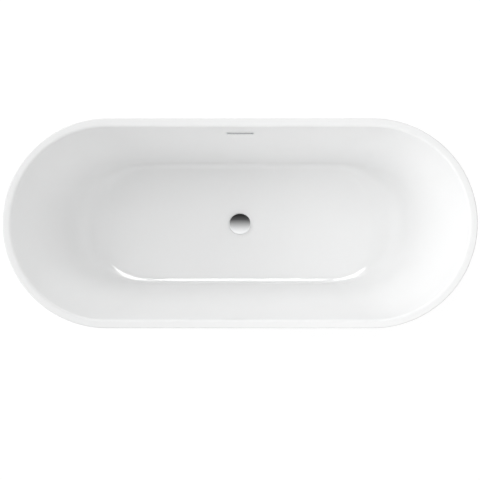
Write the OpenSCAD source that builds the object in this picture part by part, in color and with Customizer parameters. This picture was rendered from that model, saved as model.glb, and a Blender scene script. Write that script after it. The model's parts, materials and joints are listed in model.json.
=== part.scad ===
// Freestanding double-skin bathtub with slotted overflow and click-clack waste.
// Millimetres, +Z up, +X along the length, overflow on the +Y side.
// The origin is on the floor, under the middle of the tub.

/* [Tub] */
// Overall length over the rim
tub_length = 1700; // [1600:10:1800]
// Overall width over the rim
tub_width = 750; // [720:10:800]
// Height of the drain seat above the floor
drain_height = 180; // [178:1:220]
// Depth of the basin from the rim to the drain seat
basin_depth = 420; // [390:5:450]

/* [Rim] */
// Width of the flat top of the rim
rim_flat = 20; // [14:1:26]
// Radius of the rim's outer edge
rim_edge_r = 4; // [3:0.5:5]
// Radius of the roll from the rim into the basin
rim_roll_r = 12; // [11:1:18]
// Height of the rim's turned-down lip
lip_drop = 25; // [20:1:32]

/* [Basin] */
// Length of the flat basin floor
floor_length = 940; // [900:10:980]
// Width of the flat basin floor
floor_width = 392; // [380:2:410]
// Straight part of the basin floor's long edge
floor_straight = 660; // [600:10:700]
// Squareness of the floor's ends, 2 is an ellipse
floor_squareness = 2.3; // [2:0.1:2.8]
// Fall of the floor towards the drain
floor_fall = 6; // [3:1:8]
// Fillet between the floor and the side walls
side_fillet_r = 25; // [20:1:40]
// Fillet between the floor and the backrests
end_fillet_r = 180; // [120:10:200]

/* [Shells] */
// Thickness of the basin's acrylic
liner_t = 5; // [4:0.5:6]
// Thickness of the glass-fibre backing
backing_t = 4; // [3:0.5:5]
// How far below the rim the backing stops
backing_top_drop = 38; // [34:1:46]
// Thickness of the outer skirt
skirt_t = 5; // [4:0.5:6]
// How far the skirt tapers in from rim to base
skirt_taper = 80; // [60:5:85]
// Gap between the skirt and the floor
skirt_floor_gap = 6; // [6:1:12]
// Thickness of the rim's adhesive bead
adhesive_t = 3; // [2:0.5:4]
// Width of the rim's adhesive bead
adhesive_w = 10; // [8:1:12]
// Thickness of the timber band inside the skirt's base
band_t = 12; // [10:1:16]
// Height of the timber band
band_h = 30; // [24:1:40]

/* [Frame] */
// Width of the square frame tube
tube_w = 25; // [22:1:28]
// Wall of the square frame tube
tube_wall = 2; // [1.5:0.5:3]
// Distance between the two rails
rail_spacing = 220; // [200:5:240]
// Length of a cross tube
cross_length = 490; // [470:5:500]
// Thickness of the base board
board_t = 15; // [12:1:18]
// Length of the base board
board_length = 880; // [860:10:900]
// Width of the base board
board_width = 330; // [300:10:340]
// How far the cross tubes stand in from the board's ends
cross_inset = 40; // [30:2:50]
// Radius of the opening for the waste in the base board
board_opening_r = 45; // [43:1:55]

/* [Feet] */
// Distance between the two feet of a cross tube
foot_spacing = 400; // [380:5:410]
// Radius of the foot pad
pad_r = 27; // [22:1:32]
// Height of the foot pad
pad_h = 16; // [14:1:20]
// Radius of the foot's threaded stud
stud_r = 6; // [5:0.5:6.5]
// Height of the stud above the underside of the frame
stud_rise = 30; // [26:1:34]
// Thread pitch of the stud
stud_pitch = 1.75; // [1.25:0.25:2]
// Height of the frame's welded nut
weld_nut_h = 10; // [8:1:12]
// Height of the lock nut
lock_nut_h = 8; // [6:1:9]

/* [Waste] */
// Radius of the drain hole
drain_r = 26; // [25.5:0.5:28]
// Radius of the chrome cap
cap_r = 40; // [38:1:42]
// Rise of the cap's dome
cap_dome = 6; // [4:0.5:9]
// Lift of the cap between shut and open
cap_lift = 10; // [6:1:12]
// Radius of the waste flange
flange_r = 35; // [33:0.5:36]
// Thickness of the waste flange
flange_t = 2.5; // [2:0.5:3]
// Radius of the flange's threaded tail
tail_r = 23.9; // [23:0.1:24]
// Length of the flange's threaded tail
tail_length = 42; // [38:1:46]
// Radius of the waste chamber
chamber_r = 30; // [29:0.5:34]
// Outer radius of the trap pipe
pipe_r = 20; // [19:0.5:20]
// Wall of the trap pipe
pipe_wall = 1.8; // [1.5:0.1:2.5]
// Bend radius of the trap pipe
bend_r = 33; // [31:1:33]
// Gap between the trap's union nut and the waste chamber
union_gap = 4.4; // [2:0.2:6]
// Gap between the outlet spigot and the floor
spigot_floor_gap = 8; // [4:1:12]

/* [Overflow] */
// How far below the rim the overflow slot is
overflow_drop = 72; // [68:1:80]
// Length of the slot's chrome bezel
bezel_length = 105; // [95:1:115]
// Height of the slot's chrome bezel
bezel_height = 20; // [18:0.5:22]
// Width of the bezel's face
bezel_face = 3.5; // [3:0.5:4]
// Outer radius of the overflow hose
hose_r = 14.5; // [13:0.5:14.5]
// Wall of the overflow hose
hose_wall = 1.5; // [1:0.1:2]

/* [Hidden] */
$fn = 96;

// Shared clearances
bond_gap = 0.2;    // resin line between bonded skins
seam_gap = 0.3;    // hairline at the rim's seam
run_gap = 0.1;     // radial clearance of a thread or a sliding rod
seal_gap = 0.3;    // between pieces of two bodies that meet
fit_gap = 0.05;    // radial clearance round a fixed screw

// Overall levels and outlines
rim_z = drain_height + basin_depth;
rim_r = tub_width / 2;
rim_straight = (tub_length - tub_width) / 2;
floor_edge_z = drain_height + floor_fall;
skin_t = liner_t + bond_gap + backing_t;
backing_z = drain_height - skin_t;
board_z = backing_z - board_t;
frame_z = board_z - tube_w;

// Basin walls: a roll at the rim, a straight slope and a fillet at the floor
side_start = rim_r - rim_flat;
end_start = rim_straight + rim_r - rim_flat;
side_floor = floor_width / 2;
end_floor = floor_length / 2;
roll_z = rim_z - rim_roll_r;
side_tilt = wall_tilt(side_start - side_floor, side_fillet_r);
end_tilt = wall_tilt(end_start - end_floor, end_fillet_r);

// Angle of a wall from the vertical, where it is tangent to its roll and its fillet
function wall_tilt(reach, fillet) =
    let (rise = roll_z - floor_edge_z - fillet)
    acos((rim_roll_r + fillet) / norm([reach, rise])) - atan2(rise, reach);

// Distance of a wall from the middle at height z, moved outwards by depth
function wall_at(z, depth, start, foot, fillet, tilt) =
    let (roll = rim_roll_r - depth,
         bowl = fillet + depth,
         bowl_z = floor_edge_z + fillet,
         roll_foot = roll_z + roll * sin(tilt),
         bowl_top = bowl_z - bowl * sin(tilt))
    z >= roll_foot ? start - sqrt(max(0, roll * roll - pow(z - roll_z, 2)))
    : z <= bowl_top ? foot + sqrt(max(0, bowl * bowl - pow(bowl_z - z, 2)))
    : start - roll * cos(tilt) - (roll_foot - z) * tan(tilt);

function side_at(z, depth) = wall_at(z, depth, side_start, side_floor, side_fillet_r, side_tilt);
function end_at(z, depth) = wall_at(z, depth, end_start, end_floor, end_fillet_r, end_tilt);

// One closed ring of the loft: a straight run and two superellipse ends
ring_quarter = 16; // steps in a quarter of a ring
ring_points = 4 * (ring_quarter + 1);

function signed_power(x, p) = sign(x) * pow(abs(x), p);

function ring(half_length, half_width, half_straight, squareness, z) =
    [for (quarter = [0:3], i = [0:ring_quarter])
        let (a = 90 * quarter + 90 * i / ring_quarter,
             side = quarter == 0 || quarter == 3 ? 1 : -1,
             c = i == ring_quarter && quarter % 2 == 0 || i == 0 && quarter % 2 == 1 ? 0 : cos(a),
             s = i == 0 && quarter % 2 == 0 || i == ring_quarter && quarter % 2 == 1 ? 0 : sin(a))
        [side * half_straight + (half_length - half_straight) * signed_power(c, 2 / squareness),
         half_width * signed_power(s, 2 / squareness), z]];

// The basin's ring at height z, on the skin that lies depth behind the inner surface
function basin_ring(z, depth) =
    let (share = max(0, min(1, (z - floor_edge_z) / (rim_z - floor_edge_z))),
         straight = floor_straight / 2 + (rim_straight - floor_straight / 2) * share,
         squareness = floor_squareness + (2 - floor_squareness) * share)
    ring(end_at(z, depth), side_at(z, depth), straight, squareness, z);

function floor_ring(z) =
    ring(end_floor, side_floor, floor_straight / 2, floor_squareness, z);

function drain_ring(r, z) = ring(r, r, 0, 2, z);

function rim_ring(r, z) = ring(rim_straight + r, r, rim_straight, 2, z);

// Heights of the rings up a skin, from the floor's edge to height top
fillet_steps = 5;
bowl_steps = 4;
wall_steps = 3;
roll_steps = 5;

function between(a, b, steps) = [for (i = [1:steps]) a + (b - a) * i / steps];

function wall_heights(depth, top) =
    let (side_bowl_z = floor_edge_z + side_fillet_r,
         side_bowl_top = side_bowl_z - (side_fillet_r + depth) * sin(side_tilt),
         end_bowl_top = floor_edge_z + end_fillet_r - (end_fillet_r + depth) * sin(end_tilt))
    concat(
        [for (i = [0:fillet_steps])
            side_bowl_z - (side_fillet_r + depth) * cos((90 - side_tilt) * i / fillet_steps)],
        between(side_bowl_top, end_bowl_top, bowl_steps),
        between(end_bowl_top, top, wall_steps));

function roll_heights(depth) =
    [for (i = [1:roll_steps])
        roll_z + (rim_roll_r - depth) * sin(side_tilt + (90 - side_tilt) * i / roll_steps)];

function skin_heights(depth) =
    concat(wall_heights(depth, roll_z + (rim_roll_r - depth) * sin(side_tilt)), roll_heights(depth));

function reversed(list) = [for (i = [len(list) - 1:-1:0]) list[i]];

// A closed solid through a list of rings, with both end rings filled
module loft(rings) {
    n = len(rings[0]);
    last = len(rings) - 1;
    polyhedron(
        points = [for (r = rings, p = r) p],
        faces = concat(
            [[for (i = [n - 1:-1:0]) i]],
            [for (k = [0:last - 1], i = [0:n - 1])
                let (j = (i + 1) % n)
                each [[k * n + i, k * n + j, (k + 1) * n + j],
                      [k * n + i, (k + 1) * n + j, (k + 1) * n + i]]],
            [[for (i = [0:n - 1]) last * n + i]]));
}

// A flat stadium of radius r round the two end centres
module stadium(r, half_straight) {
    for (side = [-1, 1]) translate([side * half_straight, 0]) circle(r);
    square([2 * half_straight, 2 * r], center = true);
}

// A profile in (distance, height) carried all round the tub's outline
module round_the_tub(profile) {
    for (side = [0, 180]) rotate(side) {
        translate([rim_straight, 0, 0]) rotate(-90) rotate_extrude(angle = 180) polygon(profile);
        translate([-rim_straight, 0, 0]) rotate([90, 0, 90]) linear_extrude(2 * rim_straight) polygon(profile);
    }
}

module at_four(x, y) {
    for (sx = [-1, 1], sy = [-1, 1]) translate([sx * x, sy * y, 0]) children();
}

module tube(outer, inner, h) {
    difference() {
        cylinder(r = outer, h = h);
        translate([0, 0, -1]) cylinder(r = inner, h = h + 2);
    }
}

module hex_nut(across_flats, bore, h) {
    difference() {
        cylinder(r = across_flats / sqrt(3), h = h, $fn = 6);
        translate([0, 0, -1]) cylinder(r = bore, h = h + 2);
    }
}

// A pan-head screw whose shank points up from z = 0
module pan_screw(r, length) {
    head_r = 2 * r;
    head_h = 1.2 * r;
    rotate_extrude() polygon([
        [0, -head_h], [head_r * 0.6, -head_h], [head_r * 0.9, -head_h * 0.7], [head_r, -head_h * 0.3],
        [head_r, 0], [r, 0], [r, length - r], [0, length]]);
}

// ---------- shells ----------

drain_seat_r = cap_r + 8;      // flat disc round the drain
rim_edge_steps = 4;

module basin_cutouts(below) {
    translate([0, 0, drain_height - below - 1]) cylinder(r = drain_r, h = below + 2);
    at_slot() translate([0, 0, -below - 1]) slot_prism(slot_length, slot_height, below + 2);
}

module tub_liner() {
    flange_rings = concat(
        [for (i = [0:rim_edge_steps])
            let (a = 90 * i / rim_edge_steps)
            rim_ring(rim_r - rim_edge_r + rim_edge_r * sin(a), rim_z - rim_edge_r + rim_edge_r * cos(a))],
        [rim_ring(rim_r, rim_z - lip_drop),
         rim_ring(rim_r - liner_t, rim_z - lip_drop),
         rim_ring(rim_r - liner_t, rim_z - liner_t)]);
    color("white") difference() {
        loft(concat(
            [drain_ring(drain_seat_r, drain_height), floor_ring(floor_edge_z)],
            [for (z = skin_heights(0)) if (z > floor_edge_z + 0.01) basin_ring(z, 0)],
            flange_rings,
            [for (z = reversed(skin_heights(liner_t))) if (z > floor_edge_z - liner_t + 0.01) basin_ring(z, liner_t)],
            [floor_ring(floor_edge_z - liner_t), drain_ring(drain_seat_r, drain_height - liner_t)]));
        basin_cutouts(liner_t);
    }
}

module glassfibre_backing() {
    inner = liner_t + bond_gap;
    top = rim_z - backing_top_drop;
    flat_length = board_length + 16;
    flat_width = board_width + 16;
    color("khaki") difference() {
        loft(concat(
            [drain_ring(drain_seat_r, drain_height - inner), floor_ring(floor_edge_z - inner)],
            [for (z = wall_heights(inner, top)) if (z > floor_edge_z - inner + 0.01) basin_ring(z, inner)],
            [for (z = reversed(wall_heights(skin_t, top))) if (z > floor_edge_z - skin_t + 0.01) basin_ring(z, skin_t)],
            [floor_ring(floor_edge_z - skin_t),
             ring(flat_length / 2, flat_width / 2, floor_straight / 2, floor_squareness, backing_z)]));
        basin_cutouts(skin_t);
    }
}

module base_board() {
    corner_r = board_width / 4;
    color("burlywood") translate([0, 0, board_z]) difference() {
        union() {
            translate([-board_length / 2 + corner_r, -board_width / 2, 0])
                cube([board_length - 2 * corner_r, board_width, board_t]);
            translate([-board_length / 2, -board_width / 2 + corner_r, 0])
                cube([board_length, board_width - 2 * corner_r, board_t]);
            at_four(board_length / 2 - corner_r, board_width / 2 - corner_r) cylinder(r = corner_r, h = board_t);
        }
        translate([0, 0, -1]) cylinder(r = board_opening_r, h = board_t + 2);
        at_frame_screws() translate([0, 0, -1]) cylinder(r = screw_r + fit_gap, h = board_t - 1);
    }
}

skirt_z = skirt_floor_gap;
skirt_top_z = rim_z - lip_drop - seam_gap;
skirt_r = rim_r - 0.5;
skirt_steps = 16;
skirt_return = 20; // width of the turned-in flange at the skirt's foot

// Radius of the skirt's outer face at height z
function skirt_at(z) =
    let (u = (skirt_top_z - z) / (skirt_top_z - skirt_z))
    skirt_r - skirt_taper * (0.25 * u + 0.75 * u * u);

tongue_r = rim_r - liner_t - 0.6;
tongue_z = rim_z - liner_t - adhesive_t;

module outer_skirt() {
    step = (skirt_top_z - skirt_z) / skirt_steps;
    flange_z = skirt_z + skirt_t;
    outer = [for (i = [0:skirt_steps]) let (z = skirt_top_z - i * step) [skirt_at(z), z]];
    inner = [for (i = [skirt_steps - 1:-1:1]) let (z = skirt_top_z - i * step) [skirt_at(z) - skirt_t, z]];
    color("white") round_the_tub(concat(
        [[tongue_r, tongue_z], [tongue_r, skirt_top_z]],
        outer,
        [[skirt_at(skirt_z) - skirt_return, skirt_z],
         [skirt_at(skirt_z) - skirt_return, flange_z],
         [skirt_at(flange_z) - skirt_t, flange_z]],
        inner,
        [[tongue_r, skirt_top_z - skirt_t * 2], [tongue_r - skirt_t, skirt_top_z], [tongue_r - skirt_t, tongue_z]]));
}

module rim_adhesive() {
    color("gainsboro") round_the_tub([
        [tongue_r - adhesive_w, tongue_z], [tongue_r, tongue_z],
        [tongue_r, rim_z - liner_t], [tongue_r - adhesive_w, rim_z - liner_t]]);
}

band_z = skirt_z + skirt_t;
band_inner_r = skirt_at(band_z) - skirt_t - band_t;

module skirt_band() {
    steps = 3;
    color("tan") difference() {
        round_the_tub(concat(
            [[band_inner_r, band_z + band_h], [band_inner_r, band_z]],
            [for (i = [0:steps]) let (z = band_z + band_h * i / steps) [skirt_at(z) - skirt_t - bond_gap, z]]));
        at_band_screws() cylinder(r = screw_r + fit_gap, h = bracket_t + band_grip + 1);
    }
}

// ---------- frame ----------

cross_x = board_length / 2 - cross_inset;
cross_y = cross_length / 2;
rail_y = rail_spacing / 2;
foot_y = foot_spacing / 2;
screw_r = 2.5;
cross_screw_y = 60;
rail_screw_x = cross_x / 2;
frame_screw_length = tube_w + board_t - 3;
stud_hole_r = stud_r + 0.6;

module four_corners() {
    for (sx = [0, 1], sy = [0, 1]) mirror([sx, 0, 0]) mirror([0, sy, 0]) children();
}

module at_frame_screws() {
    four_corners() translate([cross_x, cross_screw_y, 0]) children();
    four_corners() translate([rail_screw_x, rail_y, 0]) children();
}

module square_tube(length) {
    difference() {
        translate([-tube_w / 2, -length / 2, 0]) cube([tube_w, length, tube_w]);
        translate([-tube_w / 2 + tube_wall, -length / 2 - 1, tube_wall])
            cube([tube_w - 2 * tube_wall, length + 2, tube_w - 2 * tube_wall]);
    }
}

module cross_tube(side) {
    color("silver") difference() {
        translate([side * cross_x, 0, frame_z]) square_tube(cross_length);
        for (sy = [-1, 1]) {
            translate([side * cross_x, sy * foot_y, frame_z - 1]) cylinder(r = stud_hole_r, h = tube_w + 2);
            translate([side * cross_x, sy * cross_screw_y, frame_z - 1]) cylinder(r = screw_r + fit_gap, h = tube_w + 2);
            translate([side * cross_x, sy * bracket_screw_y, frame_z - 1])
                cylinder(r = screw_r + fit_gap, h = tube_wall + 2);
        }
    }
}

module rail(side) {
    length = 2 * cross_x - tube_w;
    color("silver") difference() {
        translate([0, side * rail_y, frame_z]) rotate(90) square_tube(length);
        for (sx = [-1, 1]) translate([sx * rail_screw_x, side * rail_y, frame_z - 1])
            cylinder(r = screw_r + fit_gap, h = tube_w + 2);
    }
}

module cross_tube_left() { cross_tube(-1); }
module cross_tube_right() { cross_tube(1); }
module rail_front() { rail(-1); }
module rail_back() { rail(1); }

module tube_end_caps() {
    face_t = 2;
    plug_length = 10;
    plug_w = tube_w - 2 * tube_wall - 2 * fit_gap;
    color("dimgray") four_corners() translate([cross_x, cross_y, frame_z + tube_w / 2]) {
        translate([-tube_w / 2, 0, -tube_w / 2]) cube([tube_w, face_t, tube_w]);
        translate([-plug_w / 2, -plug_length, -plug_w / 2]) cube([plug_w, plug_length + face_t / 2, plug_w]);
    }
}

module frame_screws() {
    color("lightgray") at_frame_screws() translate([0, 0, frame_z]) pan_screw(screw_r, frame_screw_length);
}

stud_nut_af = 19;

module weld_nuts() {
    color("silver") four_corners() translate([cross_x, foot_y, frame_z - weld_nut_h])
        hex_nut(stud_nut_af, stud_r + run_gap, weld_nut_h);
}

module lock_nuts() {
    color("lightgray") four_corners() translate([cross_x, foot_y, frame_z - weld_nut_h - lock_nut_h])
        hex_nut(stud_nut_af, stud_r + run_gap, lock_nut_h);
}

bracket_t = 3;
bracket_w = 25;
bracket_inner_y = foot_y + 16;
bracket_screw_y = cross_y - 17;
bracket_foot_z = band_z + 4;
band_screw_z = band_z + band_h / 2;
band_grip = 8;     // depth of a bracket screw in the band
band_screw_dx = 7;

module at_band_screws() {
    four_corners() for (dx = [-1, 1])
        translate([cross_x + dx * band_screw_dx, band_inner_r - bracket_t, band_screw_z]) rotate([-90, 0, 0]) children();
}

module at_tube_screws() {
    four_corners() translate([cross_x, bracket_screw_y, frame_z - bracket_t]) children();
}

module skirt_brackets() {
    color("silver") difference() {
        four_corners() translate([cross_x - bracket_w / 2, 0, 0]) {
            translate([0, bracket_inner_y, frame_z - bracket_t]) cube([bracket_w, band_inner_r - bracket_inner_y, bracket_t]);
            translate([0, band_inner_r - bracket_t, bracket_foot_z]) cube([bracket_w, bracket_t, frame_z - bracket_foot_z]);
        }
        at_band_screws() translate([0, 0, -1]) cylinder(r = screw_r + fit_gap, h = bracket_t + 2);
        at_tube_screws() translate([0, 0, -1]) cylinder(r = screw_r + fit_gap, h = bracket_t + 2);
    }
}

module bracket_screws() {
    color("lightgray") {
        at_band_screws() pan_screw(screw_r, bracket_t + band_grip);
        at_tube_screws() pan_screw(screw_r, bracket_t + tube_wall + 5);
    }
}

// ---------- feet ----------

sole_t = 3;
stud_tip_r = stud_r - 1.5;
pad_bore_z = sole_t + 3;
collar_z = pad_h + run_gap;
collar_h = 8;

module foot_sole(sx, sy) {
    color("#333333") translate([sx * cross_x, sy * foot_y, 0]) cylinder(r = pad_r - 1, h = sole_t);
}

module foot_pad(sx, sy) {
    color("#555555") translate([sx * cross_x, sy * foot_y, 0]) difference() {
        rotate_extrude() polygon([
            [0, sole_t], [pad_r, sole_t], [pad_r, sole_t + 5], [pad_r - 4, pad_h - 4],
            [14, pad_h - 1], [14, pad_h], [0, pad_h]]);
        translate([0, 0, pad_bore_z]) cylinder(r = stud_tip_r + run_gap, h = pad_h);
    }
}

module foot_stud(sx, sy) {
    top = frame_z + stud_rise;
    color("lightgray") translate([sx * cross_x, sy * foot_y, 0]) {
        rotate_extrude() polygon([
            [0, pad_bore_z + run_gap], [stud_tip_r, pad_bore_z + run_gap], [stud_tip_r, collar_z + 1],
            [stud_r, collar_z + 1], [stud_r, top - 1], [stud_r - 1, top], [0, top]]);
        translate([0, 0, collar_z]) cylinder(r = stud_nut_af / sqrt(3), h = collar_h, $fn = 6);
    }
}

module foot_sole_left_front() { foot_sole(-1, -1); }
module foot_sole_left_back() { foot_sole(-1, 1); }
module foot_sole_right_front() { foot_sole(1, -1); }
module foot_sole_right_back() { foot_sole(1, 1); }
module foot_pad_left_front() { foot_pad(-1, -1); }
module foot_pad_left_back() { foot_pad(-1, 1); }
module foot_pad_right_front() { foot_pad(1, -1); }
module foot_pad_right_back() { foot_pad(1, 1); }
module foot_stud_left_front() { foot_stud(-1, -1); }
module foot_stud_left_back() { foot_stud(-1, 1); }
module foot_stud_right_front() { foot_stud(1, -1); }
module foot_stud_right_back() { foot_stud(1, 1); }

// ---------- waste ----------

flange_gasket_t = 1;
body_gasket_t = 3;
flange_z = drain_height + flange_gasket_t;
flange_top = flange_z + flange_t;
seal_t = 1.7;
cap_z = flange_top + seal_t;       // underside of the shut cap
cap_lip_z = drain_height + 2;
cap_edge_z = cap_z + 2;
stem_r = 4;
stem_grip = 3.3;                   // depth of the stem in the cap
throat_r = tail_r - 2;
tail_z = flange_z - tail_length;
boss_z = tail_z + 19;
boss_h = 8;
cartridge_r = 8.5;
cartridge_z = tail_z + 11;
cartridge_top = cap_lip_z;
chamber_bore_r = cartridge_r - 2;
collar_stop_z = cartridge_top - 2;
collar_t = 3;
stem_collar_z = collar_stop_z - cap_lift - 2 - collar_t;
spring_z = cartridge_z + 2;

module waste_cap() {
    dome_r = (pow(cap_r - 1, 2) + pow(cap_dome, 2)) / (2 * cap_dome);
    color("silver") difference() {
        union() {
            intersection() {
                translate([0, 0, cap_edge_z + cap_dome - dome_r]) sphere(r = dome_r, $fn = 360);
                translate([0, 0, cap_edge_z - 1]) cylinder(r = cap_r - 1, h = cap_dome + 2);
            }
            rotate_extrude() polygon([
                [0, cap_z], [cap_r - 4, cap_z], [cap_r - 4, cap_lip_z], [cap_r - 0.5, cap_lip_z],
                [cap_r, cap_lip_z + 0.5], [cap_r, cap_edge_z - 0.8], [cap_r - 0.3, cap_edge_z - 0.25],
                [cap_r - 1, cap_edge_z], [0, cap_edge_z]]);
            translate([0, 0, cap_lip_z + 0.5]) cylinder(r = 8, h = cap_z - cap_lip_z);
        }
        translate([0, 0, cap_lip_z]) cylinder(r = stem_r + fit_gap, h = cap_z + stem_grip - cap_lip_z);
    }
}

module cap_seal() {
    color("#333333") translate([0, 0, flange_top]) tube(flange_r - 2, throat_r + 4, seal_t);
}

module plunger_stem() {
    color("silver") rotate_extrude() polygon([
        [0, stem_collar_z], [chamber_bore_r - seal_gap, stem_collar_z],
        [chamber_bore_r - seal_gap, stem_collar_z + collar_t], [stem_r, stem_collar_z + collar_t],
        [stem_r, cap_z + stem_grip - 0.8], [stem_r - 0.5, cap_z + stem_grip - 0.3], [0, cap_z + stem_grip - 0.3]]);
}

module plunger_spring() {
    wire_r = 0.6;
    coil_r = chamber_bore_r - seal_gap - wire_r - 0.2;
    turns = 5;
    sides = 6;
    per_turn = 16;
    bottom = spring_z + wire_r + 0.02;
    top = stem_collar_z - wire_r - 0.02;
    steps = turns * per_turn;
    rings = [for (i = [0:steps])
        let (a = 360 * i / per_turn, z = bottom + (top - bottom) * i / steps)
        [for (k = [0:sides - 1])
            let (b = 360 * k / sides, r = coil_r + wire_r * cos(b))
            [r * cos(a), r * sin(a), z + wire_r * sin(b)]]];
    color("gray") mirror([0, 1, 0]) loft(rings);
}

module click_cartridge() {
    color("goldenrod") difference() {
        union() {
            translate([0, 0, cartridge_z]) cylinder(r = cartridge_r, h = cartridge_top - cartridge_z);
            translate([0, 0, boss_z + boss_h]) cylinder(r = cartridge_r + 2, h = 2);
        }
        translate([0, 0, spring_z]) cylinder(r = chamber_bore_r, h = collar_stop_z - spring_z);
        translate([0, 0, collar_stop_z - 1]) cylinder(r = stem_r + run_gap, h = 4);
    }
}

module waste_flange() {
    arm_w = 3;
    color("silver") difference() {
        union() {
            difference() {
                rotate_extrude() polygon([
                    [0, tail_z], [tail_r - 0.5, tail_z], [tail_r, tail_z + 0.5], [tail_r, flange_z],
                    [flange_r, flange_z], [flange_r, flange_top - 1], [flange_r - 1, flange_top], [0, flange_top]]);
                translate([0, 0, tail_z - 1]) cylinder(r = throat_r, h = tail_length + flange_t + 2);
            }
            for (turn = [45, 135]) rotate(turn)
                translate([-throat_r - 1, -arm_w / 2, boss_z]) cube([2 * throat_r + 2, arm_w, boss_h]);
            translate([0, 0, boss_z]) cylinder(r = cartridge_r + 3, h = boss_h);
        }
        translate([0, 0, boss_z - 1]) cylinder(r = cartridge_r + fit_gap, h = boss_h + 2);
    }
}

module flange_gasket() {
    color("#333333") translate([0, 0, drain_height]) tube(flange_r - 1, tail_r + fit_gap, flange_gasket_t);
}

body_flange_z = backing_z - body_gasket_t;
body_flange_r = board_opening_r - 7;

module body_gasket() {
    color("#333333") translate([0, 0, body_flange_z]) tube(body_flange_r - 1, tail_r + fit_gap, body_gasket_t);
}

// Heights of the pipework, worked down from the frame
pipe_bore_r = pipe_r - pipe_wall;
hose_z = frame_z - hose_r - 4;
hose_bore_r = hose_r - hose_wall;
barb_r = hose_bore_r - 0.1;
inlet_bore_r = barb_r - 2;
union_thread_r = pipe_r + 4;
nut_lip = 3;
collar_flange_t = 3;
washer_t = 2;
nut_h = 20;
chamber_floor = 4;
chamber_z = hose_z - inlet_bore_r - 3 - chamber_floor;
bend_z = chamber_z - union_gap - nut_h;  // centre of the U-bend
spigot_end_z = bend_z + nut_lip + collar_flange_t + washer_t;
outlet_z = hose_z + 3;
riser_x = 2 * bend_r;
arm_x = riser_x + bend_r;
outlet_thread_x = arm_x + 13;
outlet_joint_x = outlet_thread_x + 16;
outlet_nut_x = outlet_joint_x + washer_t + collar_flange_t + nut_lip;

module waste_body() {
    top_h = body_flange_z - chamber_z;
    color("whitesmoke") difference() {
        union() {
            translate([0, 0, body_flange_z - 4]) cylinder(r = body_flange_r, h = 4);
            translate([0, 0, chamber_z]) cylinder(r = chamber_r, h = top_h);
            translate([0, 0, spigot_end_z]) cylinder(r = union_thread_r, h = chamber_z - spigot_end_z + 1);
            translate([0, 0, hose_z]) rotate([-90, 0, 0]) cylinder(r = barb_r, h = chamber_r + barb_length);
        }
        translate([0, 0, tail_z - 2]) cylinder(r = tail_r + fit_gap, h = body_flange_z - tail_z + 3);
        translate([0, 0, chamber_z + chamber_floor]) cylinder(r = chamber_r - 4, h = tail_z - 1.9 - chamber_z - chamber_floor);
        translate([0, 0, spigot_end_z - 1]) cylinder(r = pipe_bore_r, h = chamber_z + chamber_floor - spigot_end_z + 2);
        translate([0, 0, hose_z]) rotate([-90, 0, 0]) cylinder(r = inlet_bore_r, h = chamber_r + barb_length + 1);
    }
}
barb_length = 32;

// The bends of the pipe lie in the XZ plane
module pipe_arc(x, z, from, sweep, r) {
    translate([x, 0, z]) rotate([90, 0, 0]) rotate(from) rotate_extrude(angle = sweep) translate([bend_r, 0]) circle(r);
}

module pipe_up(x, z, r, h) { translate([x, 0, z]) cylinder(r = r, h = h); }
module pipe_along(x, z, r, h) { translate([x, 0, z]) rotate([0, 90, 0]) cylinder(r = r, h = h); }

module trap_bend() {
    riser_top = outlet_z - bend_r;
    color("whitesmoke") difference() {
        union() {
            pipe_up(0, bend_z, pipe_r, nut_lip + 1);
            pipe_up(0, bend_z + nut_lip, union_thread_r - 0.4, collar_flange_t);
            pipe_arc(bend_r, bend_z, 180, 180, pipe_r);
            pipe_up(riser_x, bend_z, pipe_r, riser_top - bend_z);
            pipe_arc(arm_x, riser_top, 90, 90, pipe_r);
            pipe_along(arm_x, outlet_z, pipe_r, outlet_thread_x - arm_x + 1);
            pipe_along(outlet_thread_x, outlet_z, union_thread_r, outlet_joint_x - outlet_thread_x);
        }
        pipe_up(0, bend_z, pipe_bore_r, nut_lip + collar_flange_t + 1);
        pipe_arc(bend_r, bend_z, 180, 180, pipe_bore_r);
        pipe_up(riser_x, bend_z, pipe_bore_r, riser_top - bend_z);
        pipe_arc(arm_x, riser_top, 90, 90, pipe_bore_r);
        pipe_along(arm_x, outlet_z, pipe_bore_r, outlet_joint_x - arm_x + 1);
    }
}

module trap_outlet() {
    x0 = outlet_joint_x + washer_t;
    drop_z = outlet_z - bend_r;
    color("whitesmoke") difference() {
        union() {
            pipe_along(x0, outlet_z, union_thread_r - 0.4, collar_flange_t);
            pipe_along(x0 + 1, outlet_z, pipe_r, outlet_reach - bend_r - x0 - 1);
            pipe_arc(outlet_reach - bend_r, drop_z, 0, 90, pipe_r);
            pipe_up(outlet_reach, spigot_floor_gap, pipe_r, drop_z - spigot_floor_gap);
        }
        pipe_along(x0 - 1, outlet_z, pipe_bore_r, outlet_reach - bend_r - x0 + 1);
        pipe_arc(outlet_reach - bend_r, drop_z, 0, 90, pipe_bore_r);
        pipe_up(outlet_reach, spigot_floor_gap - 1, pipe_bore_r, drop_z - spigot_floor_gap + 1);
    }
}
outlet_reach = outlet_nut_x + 34 + bend_r;

module at_unions() {
    translate([0, 0, bend_z]) children();
    translate([outlet_nut_x, 0, outlet_z]) rotate([0, -90, 0]) children();
}

module union_nuts() {
    color("white") at_unions() difference() {
        union() {
            cylinder(r = union_thread_r + 4, h = nut_h);
            for (i = [0:7]) rotate(45 * i) translate([union_thread_r + 2, -2.5, 2]) cube([3, 5, nut_h - 4]);
        }
        translate([0, 0, -1]) cylinder(r = pipe_r + fit_gap, h = nut_lip + 2);
        translate([0, 0, nut_lip]) cylinder(r = union_thread_r + fit_gap, h = nut_h);
    }
}

module union_washers() {
    color("#333333") at_unions() translate([0, 0, nut_lip + collar_flange_t]) tube(union_thread_r - 0.4, pipe_bore_r + 0.2, washer_t);
}

// ---------- overflow ----------

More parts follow.
